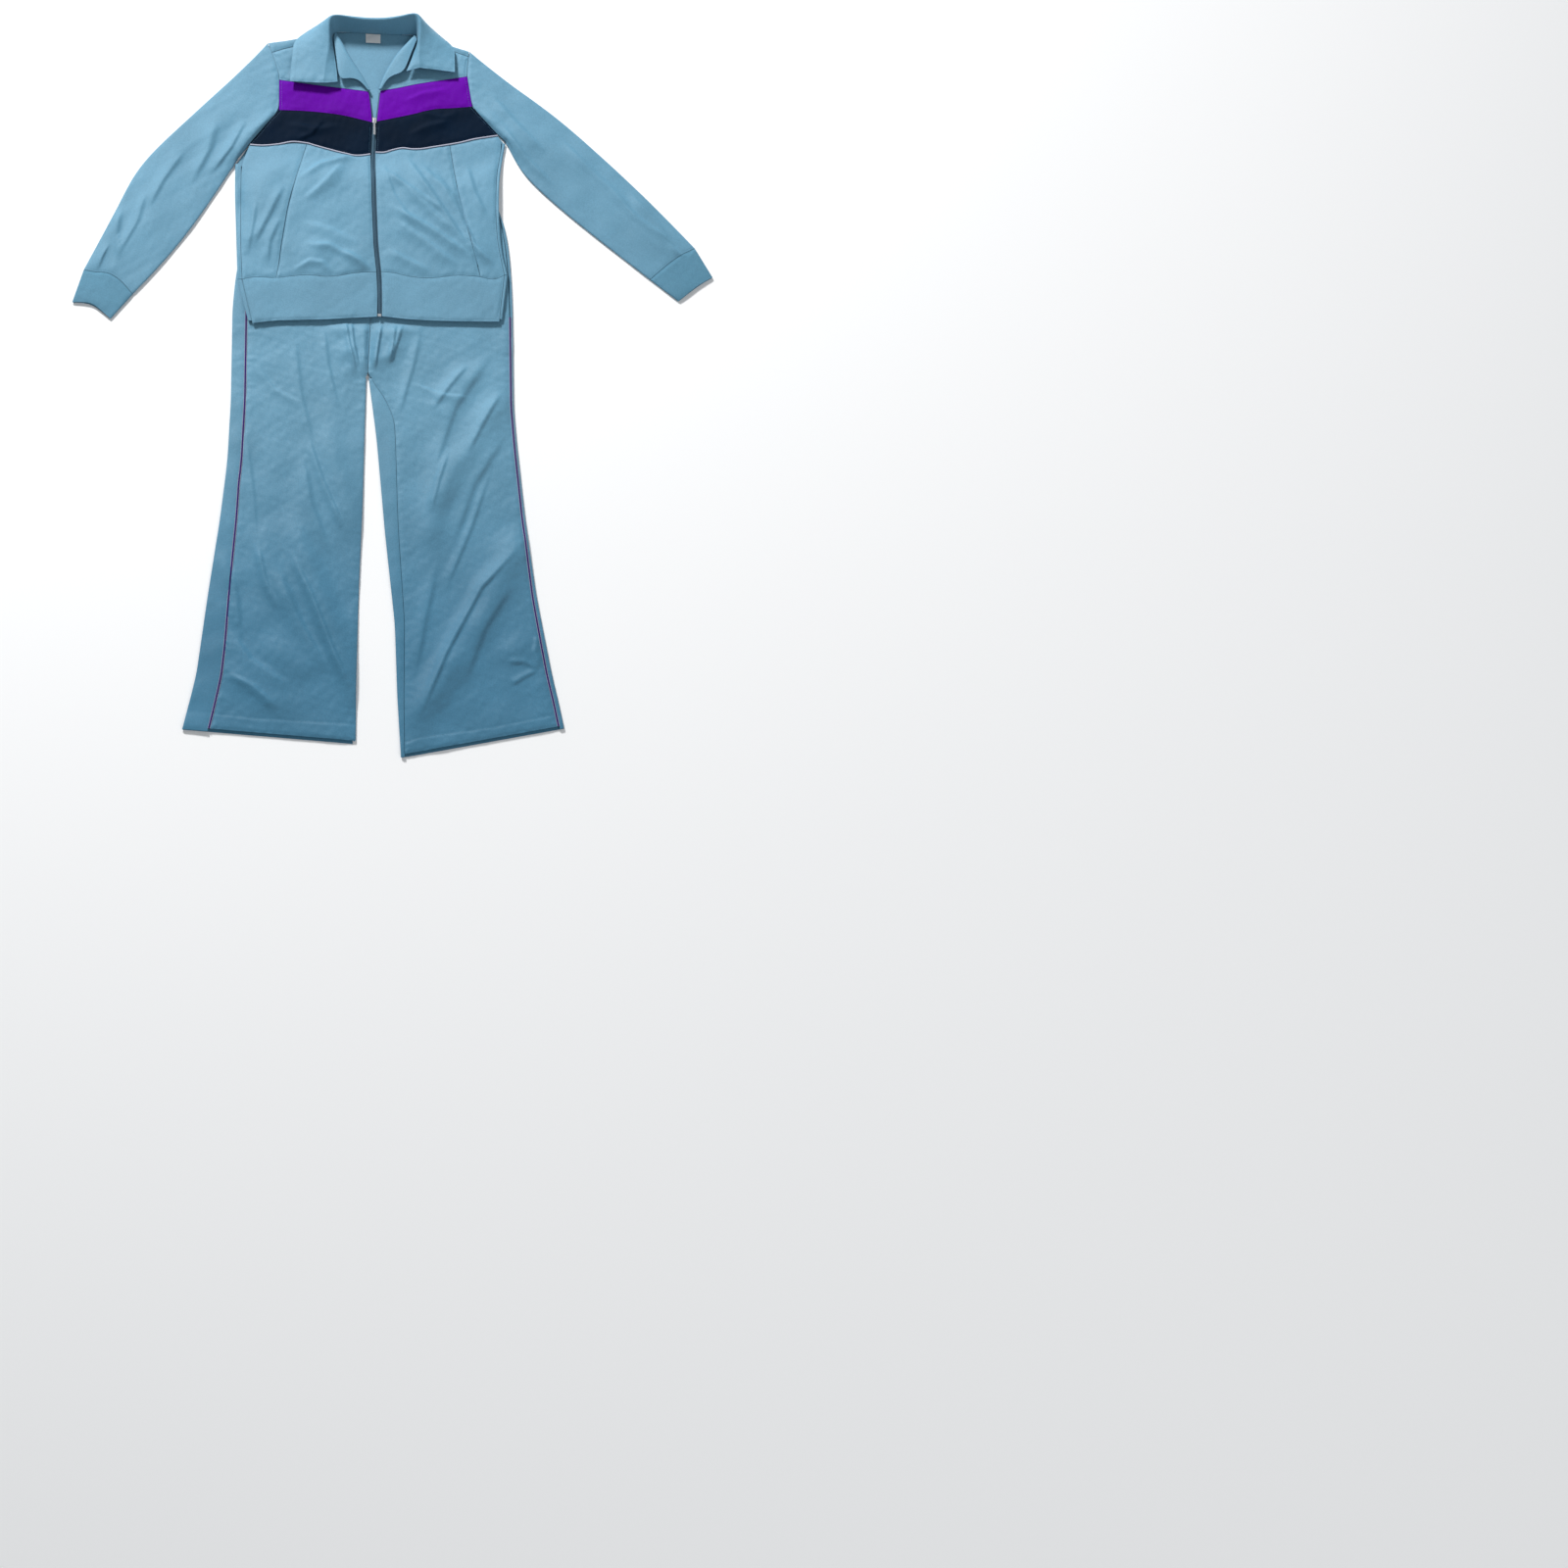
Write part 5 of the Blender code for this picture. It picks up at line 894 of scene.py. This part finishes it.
def make_back_band():
    """Back of the hem band with its turned sides."""
    rows_r, rows_l = spread(BACK_BAND_SIDE["right"], BAND_ROWS), spread(BACK_BAND_SIDE["left"], BAND_ROWS)
    base = []
    for right, left in zip(rows_r, rows_l):
        row = back_row((across(RIGHT_EDGE, right[1]) + EDGE_R, right[1]),
                       (across(LEFT_EDGE, left[1]) - EDGE_R, left[1]))
        base.append([(x, y, lift(x, y)) for x, y in row])
    base[-1] = [(x, y - BAND_GAP, z) for x, y, z in base[-1]]
    last = len(base[0]) - 1
    base[0] = [(x, y + BACK_BAND_IN * smooth(min(c, last - c) / 3), z)
               for c, (x, y, z) in enumerate(base[0])]
    grids = [base, side_turn("right", rows_r, RIGHT_EDGE, base, 0),
             side_turn("left", rows_l, LEFT_EDGE, base, -1)]
    cloth("back_hem_band", grids, DOUBLE_WALL, RIB, flip=True)


def tube_row(top, heights, under, first_out, last_out, last_bulge=1.0):
    """Ring round a flattened tube: upper points, one edge, underside, the other edge."""
    def turn(edge, way, height, bulge):
        return [(edge[0] + way[0] * EDGE_R * out * bulge, edge[1] + way[1] * EDGE_R * out * bulge,
                 height / 2 * (2 - up)) for out, up in TURN]

    ring = [(p[0], p[1], z) for p, z in zip(top, heights)]
    ring += turn(top[-1], last_out, heights[-1], last_bulge)
    ring += [(top[k][0], top[k][1], 0.0) for k in under]
    ring += turn(top[0], first_out, heights[0], 1.0)[::-1]
    return ring


def unit(a, b):
    run = hypot(b[0] - a[0], b[1] - a[1])
    return ((b[0] - a[0]) / run, (b[1] - a[1]) / run)


def sleeve_edge_out(line, t, reference):
    """Direction square to a sleeve's silhouette, on the side of a reference direction."""
    along = unit(spline(line, max(t - 0.02, 0.0)), spline(line, min(t + 0.02, 1.0)))
    out = (-along[1], along[0])
    if out[0] * reference[0] + out[1] * reference[1] < 0:
        out = (along[1], -along[0])
    return out


def inset(share, width):
    """Share of a section measured between its two ends drawn in by the edge radius."""
    return (EDGE_R + share * (width - 2 * EDGE_R)) / width


def section(line, shares):
    """Points along a section of a sleeve, clear of the turn at its two ends."""
    width = lengths(line)[-1]
    return [spline(line, inset(s, width)) for s in shares]


def make_sleeve(side):
    """Sleeve from the armhole to its cuff, and the cuff."""
    arm = armhole_points(side)
    away = -TOWARD[side]
    outer_line, inner_line = SLEEVE_OUTER[side], SLEEVE_INNER[side]
    steps = lengths(arm)
    shares = [s / steps[-1] for s in steps]
    seam = section(CUFF_SEAM[side], shares)
    first = section([outer_line[0], inner_line[0]], shares)
    last = section([outer_line[-1], inner_line[-1]], shares)
    rows = []
    for t in SLEEVE_ROWS:
        inner_t = t ** INNER_PACE
        straight = section([spline(outer_line, t), spline(inner_line, inner_t)], shares)
        far = smooth((t - 0.75) / 0.25)
        top = []
        for k, share in enumerate(shares):
            near = 1 - smooth(t / (0.35 - 0.28 * smooth((share - 0.45) / 0.5)))
            top.append([straight[k][i] + near * (arm[k][i] - first[k][i]) + far * (seam[k][i] - last[k][i])
                        for i in (0, 1)])
        across_row = unit(inner_line[2], outer_line[2])
        outer_out = sleeve_edge_out(outer_line, t, across_row)
        inner_out = sleeve_edge_out(inner_line, inner_t, (-across_row[0], -across_row[1]))
        bulge = 1.0
        if t == 0.0:
            top = [[p[0] + away * SEWN, p[1]] for p in arm]
            top[0][0] += away * ARM_OUT
            top[-1] = [top[-1][0] + away * (EDGE_R + ARM_OUT), top[-1][1] + ARMPIT_UP]
            outer_out = (0.0, 1.0)
            bulge = 0.0
        if t == 1.0:
            outer_out, inner_out = unit(top[1], top[0]), unit(top[-2], top[-1])
        rows.append(tube_row(top, sleeve_heights(side, top, shares, t, arm), ARM_UNDER,
                             outer_out, inner_out, bulge))
    cloth(f"{side}_sleeve", [rows], WALL, JERSEY, flip=(side == "right"), closed=True)
    make_cuff(side, shares)


def sleeve_heights(side, top, shares, t, arm):
    """Upper face of a sleeve: level with the body at the armhole, bulging at the armpit."""
    heights = []
    width = hypot(top[-1][0] - top[0][0], top[-1][1] - top[0][1])
    for k, share in enumerate(shares):
        own = LAYERED + crown(min(share, 1 - share) * width)
        if k not in (0, len(shares) - 1):
            own += fold_height(SLEEVE_FOLDS, *top[k])
            inner = smooth((share - 0.45) / 0.2)
            own += ARMPIT_BULGE * inner * smooth(t / ARM_RUN) * (1 - smooth((t - 0.1) / 0.25))
        body = jacket_height(*arm[k])
        heights.append(body + (own - body) * smooth(t / ARM_RUN))
    return heights


def make_cuff(side, shares):
    """Doubled cuff that narrows to the wrist, its columns in line with the sleeve's."""
    seam, end = section(CUFF_SEAM[side], shares), section(CUFF_END[side], shares)
    rows = []
    for t in CUFF_ROWS:
        top = [lerp(a, b, t) for a, b in zip(seam, end)]
        heights = [LAYERED + CROWN * sin(pi * share) for share in shares]
        rows.append(tube_row(top, heights, ARM_UNDER, unit(top[1], top[0]), unit(top[-2], top[-1])))
    cloth(f"{side}_cuff", [rows], DOUBLE_WALL, RIB_DEEP, flip=(side == "right"), closed=True)


def make_collar():
    """Fold-down collar: it stands at the back of the neck and lies out over the fronts."""
    rows = []
    for neck, crest, edge in COLLAR:
        out = unit(neck, edge)
        if neck[2] < BACK_NECK_Z:
            neck = (neck[0], neck[1] - NECK_IN, neck[2] + NECK_UP)
        inner = (crest[0] - out[0] * CREST_R, crest[1] - out[1] * CREST_R, crest[2] - CREST_DROP)
        outer = (crest[0] + out[0] * CREST_R, crest[1] + out[1] * CREST_R, crest[2] - CREST_DROP)
        line = [neck, tuple(lerp(neck, inner, 0.55)), inner, crest, outer]
        for share in (0.3, 0.65, 1.0):
            line.append(tuple(lerp(outer, edge, share)))
        rows.append(line)
    cloth("collar", [rows], COLLAR_WALL, JERSEY, flip=True)


def trouser_height(x, y, outer, inner):
    """Outer face of a leg's upper layer, which has no inner edge above the crotch."""
    rise = crown(min(abs(x - outer), abs(inner - x) if y < CROTCH_Y else FAR_IN) - EDGE_R)
    return LAYERED + rise + fold_height(TROUSER_FOLDS, x, y) * (1 - smooth((y - FOLDS_END_Y) / FOLDS_END_RUN))


def leg_row(side, level):
    """One row of a leg: its outer and inner ends on the plan, slanting towards the hem."""
    outer_line, inner_line = LEG_OUTER[side], LEG_INNER[side]
    hem = LEG_ROWS[-1]
    if level >= STRAIGHT_TO:
        outer_y = inner_y = level
    else:
        share = (STRAIGHT_TO - level) / (STRAIGHT_TO - hem)
        outer_y = STRAIGHT_TO + share * (outer_line[0].y - STRAIGHT_TO)
        inner_y = STRAIGHT_TO + share * (inner_line[0].y - STRAIGHT_TO)
    if inner_y > CROTCH_Y:
        inner_x = across(CENTRE_SEAM, inner_y)
    else:
        inner_x = across(inner_line, inner_y)
    return (across(outer_line, outer_y), outer_y), (inner_x, inner_y)


def make_leg(side):
    """Front and back panel of one leg, from the waist to the hem."""
    away = -TOWARD[side]
    fronts, front_edge, backs, outer_edge, inner_edge, piping = [], [], [], [], [], []
    for level in LEG_ROWS:
        outer, inner = leg_row(side, level)
        parted = inner[1] < CROTCH_Y
        width = abs(inner[0] - outer[0])
        seam_share = across(SIDE_SEAM_IN[side], outer[1]) / width
        edge_share, gap_share, slot_share = EDGE_R / width, HALF_GAP / width, PIPING_SLOT / width
        inseam_in = across(INSEAM_IN, inner[1]) if side == "left" else EDGE_R
        stop_share = 1 - inseam_in / width if parted else 1 - gap_share

        def on_top(share):
            x, y = lerp(outer, inner, share)
            return (x, y, trouser_height(x, y, outer[0], inner[0]))

        def round_edge(share, way):
            x, y, top = on_top(share)
            points = [(x + way * EDGE_R * out, y, top / 2 * up) for out, up in TURN]
            return (x, y, 0.0), points, (x, y, top)

        first, last = seam_share + slot_share, stop_share
        if parted and side == "left":
            last -= gap_share
        crowded = smooth((level - CROWD_FROM) / CROWD_RUN)
        front = []
        for c in range(FRONT_LEG_COLUMNS + 1):
            even = c / FRONT_LEG_COLUMNS
            s = even + (1 - (1 - even) ** CROWD_PACE - even) * crowded
            front.append(on_top(first + s * (last - first)))
        fronts.append(front)
        under = []
        stop = 1 - (edge_share if parted else gap_share)
        for c in range(BACK_LEG_COLUMNS + 1):
            x, y = lerp(outer, inner, edge_share + (stop - edge_share) * c / BACK_LEG_COLUMNS)
            under.append((x, y, 0.0))
        backs.append(under)
        low, curve, high = round_edge(edge_share, away)
        outer_edge.append([on_top(seam_share - slot_share), high] + curve[::-1] + [low])
        if parted:
            low, curve, high = round_edge(1 - edge_share, -away)
            if side == "left":
                inner_edge.append([low] + curve + [high, on_top(stop_share + gap_share)])
            else:
                front_edge.append([high] + curve[::-1] + [(low[0] - 2 * HALF_GAP, low[1], low[2])])
                backs[-1][-1] = (low[0] - 8 * HALF_GAP, low[1], 0.0)
        piping.append(on_top(seam_share))
    for grid in (backs, outer_edge, inner_edge):
        if grid:
            lengthen(grid, BACK_HEM_DROP)
    for grid in (fronts, backs, outer_edge):
        grid[0] = [(x, y - HALF_GAP, z) for x, y, z in grid[0]]
    flip = side == "right"
    cloth(f"{side}_leg_front", [g for g in (fronts, front_edge) if g], WALL, JERSEY_LEG, flip=flip)
    cloth(f"{side}_leg_back", [g for g in (backs, outer_edge, inner_edge) if g], WALL, JERSEY_LEG,
          flip=not flip)
    LEG_PIPING[side] = [(x, y, z - PIPING_SUNK) for x, y, z in piping[PIPING_FROM_ROW:]]
    cord(f"{side}_leg_piping", LEG_PIPING[side], LEG_PIPING_R, PURPLE_PIPING)


def lengthen(grid, more):
    """Carry the last row of a grid on along its columns."""
    out = []
    for before, last in zip(grid[-2], grid[-1]):
        run = hypot(last[0] - before[0], last[1] - before[1])
        out.append(tuple(q + (q - p) * more / run for p, q in zip(before, last)))
    grid[-1] = out


def make_waistband():
    """Plain elastic waistband, hidden under the jacket."""
    rows = []
    columns = WAIST_COLUMNS
    for y, squeeze in ((WAIST_Y + HALF_GAP, 0.0), (WAIST_Y + 1.8, 0.25), (WAIST_TOP_Y, 0.45)):
        a = (LEG_OUTER["right"][-1].x + EDGE_R + squeeze, y)
        b = (LEG_OUTER["left"][-1].x - EDGE_R - squeeze, y)
        top = [lerp(a, b, c / columns) for c in range(columns + 1)]
        heights = [LAYERED + crown(min(c, columns - c) * 3.6) for c in range(columns + 1)]
        rows.append(tube_row(top, heights, range(columns, -1, -4), (-1.0, 0.0), (1.0, 0.0)))
    cloth("waistband", [rows], DOUBLE_WALL, RIB, closed=True)


def make_label():
    """Blank woven label hanging inside the back neck."""
    grid = []
    for y, z in LABEL_ROWS:
        grid.append([(x, y, z) for x in LABEL_COLUMNS])
    cloth("neck_label", [grid], THIN_WALL, LABEL)


def make_zip():
    """Zip tapes under the fronts, and the two rows of teeth between them."""
    low, high = ZIP[0].y, SLIDER_Y - 0.75
    rows = TAPE_ROWS
    for side, toward in TOWARD.items():
        places = [low + 0.1 + (high - low) * r / rows for r in range(rows + 1)]
        places = [(across(ZIP, y), y, ZIP_OPENING + TAPE_UNDER, TAPE_OFF_LINE, 0.0) for y in places]
        for share in (0.25, 0.5, 0.75, 1.0):
            places.append((*spline(OPENING[side], share), *TAPE_ABOVE))
        grid = []
        for x, y, outer, inner, drop in places:
            z = jacket_height(x, y) - WALL - 2 * HALF_GAP - TAPE_BELOW
            pair = [(x - toward * outer, y - drop, z), (x - toward * inner, y - drop, z)]
            grid.append(pair if side == "right" else pair[::-1])
        cloth(f"{side}_zip_tape", [grid], THIN_WALL, TAPE_CLOTH)
    bm = bmesh.new()
    y = low + 0.55
    side = 1
    while y < SLIDER_Y - 0.62:
        x = across(ZIP, y)
        z = jacket_height(x, y) - WALL - 2 * HALF_GAP + 0.04
        tooth = bmesh.ops.create_cube(bm, size=1.0)["verts"]
        for vert in tooth:
            wide = TOOTH_WIDE * (0.7 if vert.co.x * side < 0 else 1.0)
            place = (x + side * 0.05 + vert.co.x * wide, y + vert.co.y * TOOTH_LONG * (wide / TOOTH_WIDE),
                     z + vert.co.z * TOOTH_HIGH)
            vert.co = plan_point(*place)
        y += TOOTH_PITCH
        side = -side
    bmesh.ops.bevel(bm, geom=bm.edges[:], offset=0.0002, segments=1, affect="EDGES")
    settle(from_bmesh("zip_teeth", bm), "zip_coil", COIL)


def surface(names):
    """A finder of the upper face of some finished pieces."""
    bm = bmesh.new()
    for name in names:
        bm.from_mesh(PIECES[name].data)
    tree = BVHTree.FromBMesh(bm)
    bm.free()
    return tree


def stitches(name, line, names, mat):
    """A row of stitches along a line on the plan, each lying on the cloth below it."""
    tree = surface(names)
    count = max(2, int(lengths(line)[-1] / STITCH_PITCH))
    bm = bmesh.new()
    for k in range(count):
        ends = []
        for share in (k / count, (k + STITCH_SHARE) / count):
            x, y = spline(line, share)
            hit = tree.ray_cast(plan_point(x, y, 9.0), Vector((0, 0, -1)))[0]
            if hit is not None:
                ends.append(hit)
        if len(ends) < 2 or abs(ends[0].z - ends[1].z) > STITCH_JUMP * CM:
            continue
        middle = (ends[0] + ends[1]) / 2
        along = (ends[1] - ends[0]).normalized()
        out = along.cross(Vector((0, 0, 1))).normalized() * STITCH_R * CM
        up = Vector((0, 0, STITCH_R * CM))
        tips = [bm.verts.new(ends[0]), bm.verts.new(ends[1])]
        ring = [bm.verts.new(middle + d) for d in (out, up, -out, -up)]
        for a, b in zip(ring, ring[1:] + ring[:1]):
            bm.faces.new((tips[0], a, b))
            bm.faces.new((tips[1], b, a))
    bmesh.ops.recalc_face_normals(bm, faces=bm.faces)
    row = from_bmesh(name, bm)
    row.data.shade_smooth()
    settle(row, None, mat)


def shifted(line, dx, dy):
    return [(p[0] + dx, p[1] + dy) for p in line]


def make_stitching():
    """Visible rows of stitching: hems, bands, pockets, collar, armholes and label."""
    for side, toward in TOWARD.items():
        stitches(f"{side}_hem_stitches", LEG_HEM_STITCHES[side], [f"{side}_leg_front"], THREAD)
        panels = [f"{side}_front_side", f"{side}_front_centre"]
        stitches(f"{side}_band_stitches", shifted(BAND_SEAM[side], 0, SEAM_ALLOWED), panels, THREAD)
        stitches(f"{side}_band_edge_stitches", shifted(HEM[side], 0, EDGE_ALLOWED),
                 [f"{side}_hem_band"], THREAD)
        stitches(f"{side}_pocket_stitches", shifted(POCKET_SEAM[side], toward * POCKET_ALLOWED, 0),
                 panels, THREAD)
        stitches(f"{side}_armhole_stitches", shifted(armhole_points(side)[1:], toward * ARM_ALLOWED, 0),
                 [f"{side}_yoke", f"{side}_purple_band", f"{side}_black_band"], THREAD)
        zip_path = [(across(ZIP, y) - toward * (ZIP_OPENING + SEAM_ALLOWED), y) for y in ZIP_STITCH_YS]
        stitches(f"{side}_zip_stitches", zip_path,
                 [f"{side}_hem_band", f"{side}_front_centre", f"{side}_black_band"], THREAD)
        cuff = [lerp(p, (p.x - toward * 0.3, p.y - 0.5), -0.7) for p in CUFF_SEAM[side]]
        stitches(f"{side}_cuff_stitches", cuff, [f"{side}_sleeve"], THREAD)
    edge = [lerp(c.crest, c.edge, 0.86)[:2] for c in COLLAR]
    stitches("collar_stitches", edge, ["collar"], THREAD)
    stitches("label_stitches", [(-1.6, 66.9), (0.8, 66.9)], ["neck_label"], THREAD_PALE)


def make_piping_edges():
    """Pale edges on both sides of the dark piping down each leg."""
    for side in ("right", "left"):
        core = LEG_PIPING[side]
        for k, shift in enumerate((-PIPING_EDGE_OUT, PIPING_EDGE_OUT)):
            edge = [(x + shift, y, z + PIPING_EDGE_UP) for x, y, z in core]
            cord(f"{side}_leg_piping_edge_{k + 1}", edge, PIPING_EDGE_R, PIPING, node=False)


def dress(mat, node, inputs, joins):
    """Set the constants of a shader node, and join outputs of others to its inputs."""
    for key, value in inputs.items():
        node.inputs[key].default_value = value
    for key, source in joins.items():
        mat.node_tree.links.new(source, node.inputs[key])
    return node


def add(mat, kind, inputs, joins, **settings):
    """A new shader node with its settings, constants and links."""
    node = mat.node_tree.nodes.new("ShaderNode" + kind)
    for key, value in settings.items():
        setattr(node, key, value)
    return dress(mat, node, inputs, joins)


def new_look(name):
    """A material, its main shader, and the place on the object."""
    mat = bpy.data.materials.new(name)
    mat.use_nodes = True
    return mat, mat.node_tree.nodes["Principled BSDF"], add(mat, "TexCoord", {}, {}).outputs["Object"]


def noise(mat, place, scale, detail):
    return add(mat, "TexNoise", {"Scale": scale, "Detail": detail}, {"Vector": place}).outputs["Fac"]


def ribs(mat, place, way, scale, wobble):
    """Height of the knit's ribs that run across one way."""
    return add(mat, "TexWave", {"Scale": scale, "Distortion": wobble}, {"Vector": place},
               wave_type="BANDS", bands_direction=way).outputs["Fac"]


def bumped(mat, height, strength, distance):
    return add(mat, "Bump", {"Strength": strength, "Distance": distance},
               {"Height": height}).outputs["Normal"]


def jersey(name, colour, rough, sheen, tint, bump=0.25, scale=900.0, gloss=0.3):
    """Smooth tricot knit: fine ribs and cross rows, uneven dye, wear and a soft sheen."""
    mat, shader, place = new_look(name)
    ramp = add(mat, "ValToRGB", {}, {"Fac": noise(mat, place, 9.0, 5.0)})
    for stop, position, share in zip(ramp.color_ramp.elements, (0.3, 0.7), (1 - tint, 1 + tint)):
        stop.position = position
        stop.color = (*[min(c * share, 1.0) for c in colour], 1.0)
    mix = add(mat, "Mix", {}, {}, data_type="RGBA", blend_type="OVERLAY")
    dress(mat, mix, {"Factor": 0.18}, {"A": ramp.outputs["Color"], "B": noise(mat, place, 420.0, 2.0)})
    loops = add(mat, "Math", {}, {0: ribs(mat, place, "X", scale / 2.0, 0.6),
                                  1: ribs(mat, place, "Y", scale / 1.3, 0.8)}, operation="ADD")
    dress(mat, shader, {"Roughness": rough, "Sheen Weight": sheen, "Sheen Roughness": 0.45,
                        "Specular IOR Level": gloss},
          {"Base Color": mix.outputs["Result"],
           "Normal": bumped(mat, loops.outputs["Value"], bump, 0.0003)})
    return mat


def shade_towards_hems(mat, share):
    """Painted shade: darken a knit's colour from the waist towards the hems, where the light falls off away
    from the key lamp.
    """
    shader = mat.node_tree.nodes["Principled BSDF"]
    colour = shader.inputs["Base Color"].links[0].from_socket
    place = add(mat, "TexCoord", {}, {}).outputs["Object"]
    parts = add(mat, "SeparateXYZ", {}, {"Vector": place})
    down = add(mat, "MapRange", {"From Min": 0.0, "From Max": -0.55}, {"Value": parts.outputs["Y"]},
               interpolation_type="SMOOTHSTEP")
    mix = add(mat, "Mix", {"B": (*share, 1.0)}, {"Factor": down.outputs["Result"], "A": colour},
              data_type="RGBA", blend_type="MULTIPLY")
    dress(mat, shader, {}, {"Base Color": mix.outputs["Result"]})


def metal():
    """Bright plated zinc with fine scratches and duller spots."""
    mat, shader, place = new_look("silver_metal_look")
    spots = noise(mat, place, 700.0, 6.0)
    rough = add(mat, "MapRange", {"To Min": 0.18, "To Max": 0.42}, {"Value": spots})
    dress(mat, shader, {"Metallic": 1.0, "Base Color": (0.80, 0.81, 0.83, 1.0)},
          {"Roughness": rough.outputs["Result"], "Normal": bumped(mat, spots, 0.15, 0.0002)})
    return mat


def basis(forward, up):
    """Axes of a camera that looks forward, as a matrix."""
    back = -forward
    right = up.cross(back).normalized()
    return Matrix((right, back.cross(right), back)).transposed()


def make_camera():
    """Camera of the photograph: one pixel's ray is known, and the roll keeps the plan upright there."""
    focal = LENS_MM / SENSOR_MM * PHOTO_WIDTH
    half = PHOTO_WIDTH / 2
    seen = Vector(((AIM_PX - half) / focal, (half - AIM_PY) / focal, -1.0)).normalized()
    ray = Vector((0.0, cos(radians(RAY_ELEVATION)), -sin(radians(RAY_ELEVATION))))
    place = -RAY_LENGTH * ray
    low, high = -0.5, 0.5
    level = basis(ray, Vector((0, 0, 1)))
    seen_level = basis(seen, Vector((0, 1, 0))).transposed()
    for _ in range(50):
        roll = (low + high) / 2
        turn = level @ Matrix.Rotation(roll, 3, "Z") @ seen_level
        ends = []
        for y in (-1.0, 1.0):
            seen_end = turn.transposed() @ (Vector((0.0, y, 0.0)) - place)
            ends.append(seen_end.x / -seen_end.z)
        if ends[1] > ends[0]:
            high = roll
        else:
            low = roll
    data = bpy.data.cameras.new("camera")
    data.lens = LENS_MM
    data.sensor_width = SENSOR_MM
    data.clip_end = 50.0
    camera = new_object("camera", data)
    camera.matrix_world = Matrix.Translation(plan_point(*place)) @ turn.to_4x4()
    bpy.context.scene.camera = camera


def make_stage():
    """Pale floor, soft key light from beyond the collar, and a bright even room."""
    bm = bmesh.new()
    bmesh.ops.create_grid(bm, x_segments=1, y_segments=1, size=6.0)
    floor = from_bmesh(ON_FLOOR, bm)
    floor.location.z = -FLOOR_DROP
    mat, shader, _ = new_look("floor")
    dress(mat, shader, {"Base Color": FLOOR_COLOUR, "Roughness": 0.9}, {})
    floor.data.materials.append(mat)
    for name, place, size, power in LAMPS:
        data = bpy.data.lights.new(name, "AREA")
        data.size = size
        data.energy = power
        lamp = new_object(name, data)
        lamp.location = place
        lamp.rotation_euler = (-Vector(place)).to_track_quat("-Z", "Y").to_euler()
    world = bpy.data.worlds.new("room")
    world.use_nodes = True
    dress(world, world.node_tree.nodes["Background"],
          {"Color": ROOM_COLOUR, "Strength": ROOM_LIGHT}, {})
    bpy.context.scene.world = world
    bpy.context.scene.view_settings.view_transform = "Standard"


JERSEY = jersey("blue_jersey_look", BLUE, 0.50, 0.10, 0.06)
JERSEY_LEG = jersey("blue_leg_look", BLUE, 0.46, 0.08, 0.07)
# painted shade on the trousers, darker towards the hems
shade_towards_hems(JERSEY_LEG, HEM_SHADE_SHARE)
RIB = jersey("blue_band_look", BLUE, 0.52, 0.08, 0.06, bump=0.4, scale=700.0)
RIB_DEEP = jersey("blue_cuff_look", BLUE_DEEP, 0.55, 0.06, 0.06, bump=0.5, scale=500.0)
BLACK_JERSEY = jersey("black_jersey_look", BLACK, 0.60, 0.0, 0.25, gloss=0.05)
PURPLE_JERSEY = jersey("purple_jersey_look", PURPLE, 0.55, 0.0, 0.10, gloss=0.05)
PIPING = jersey("pale_piping_look", PALE, 0.5, 0.2, 0.08)
PURPLE_PIPING = jersey("purple_piping_look", PURPLE_DARK, 0.5, 0.1, 0.1)
TAPE_CLOTH = jersey("zip_tape_look", TAPE, 0.7, 0.1, 0.1, bump=0.5)
COIL = jersey("zip_teeth_look", TAPE, 0.35, 0.0, 0.15, bump=0.05)
LABEL = jersey("white_label_look", WHITE, 0.55, 0.1, 0.03, bump=0.5, scale=1400.0)
THREAD = jersey("thread_look", THREAD_BLUE, 0.5, 0.1, 0.08)
THREAD_PALE = jersey("pale_thread_look", WHITE, 0.5, 0.1, 0.05)
METAL = metal()

make_camera()
make_back()
make_back_band()
for side in ("right", "left"):
    make_front(side)
    make_sleeve(side)
    make_leg(side)
make_collar()
make_waistband()
make_zip()
make_label()
make_piping_edges()
make_stitching()
for node in ("zip_slider", "zip_bridge", "zip_pull", "zip_stop"):
    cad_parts[node].data.materials[0] = METAL
make_stage()
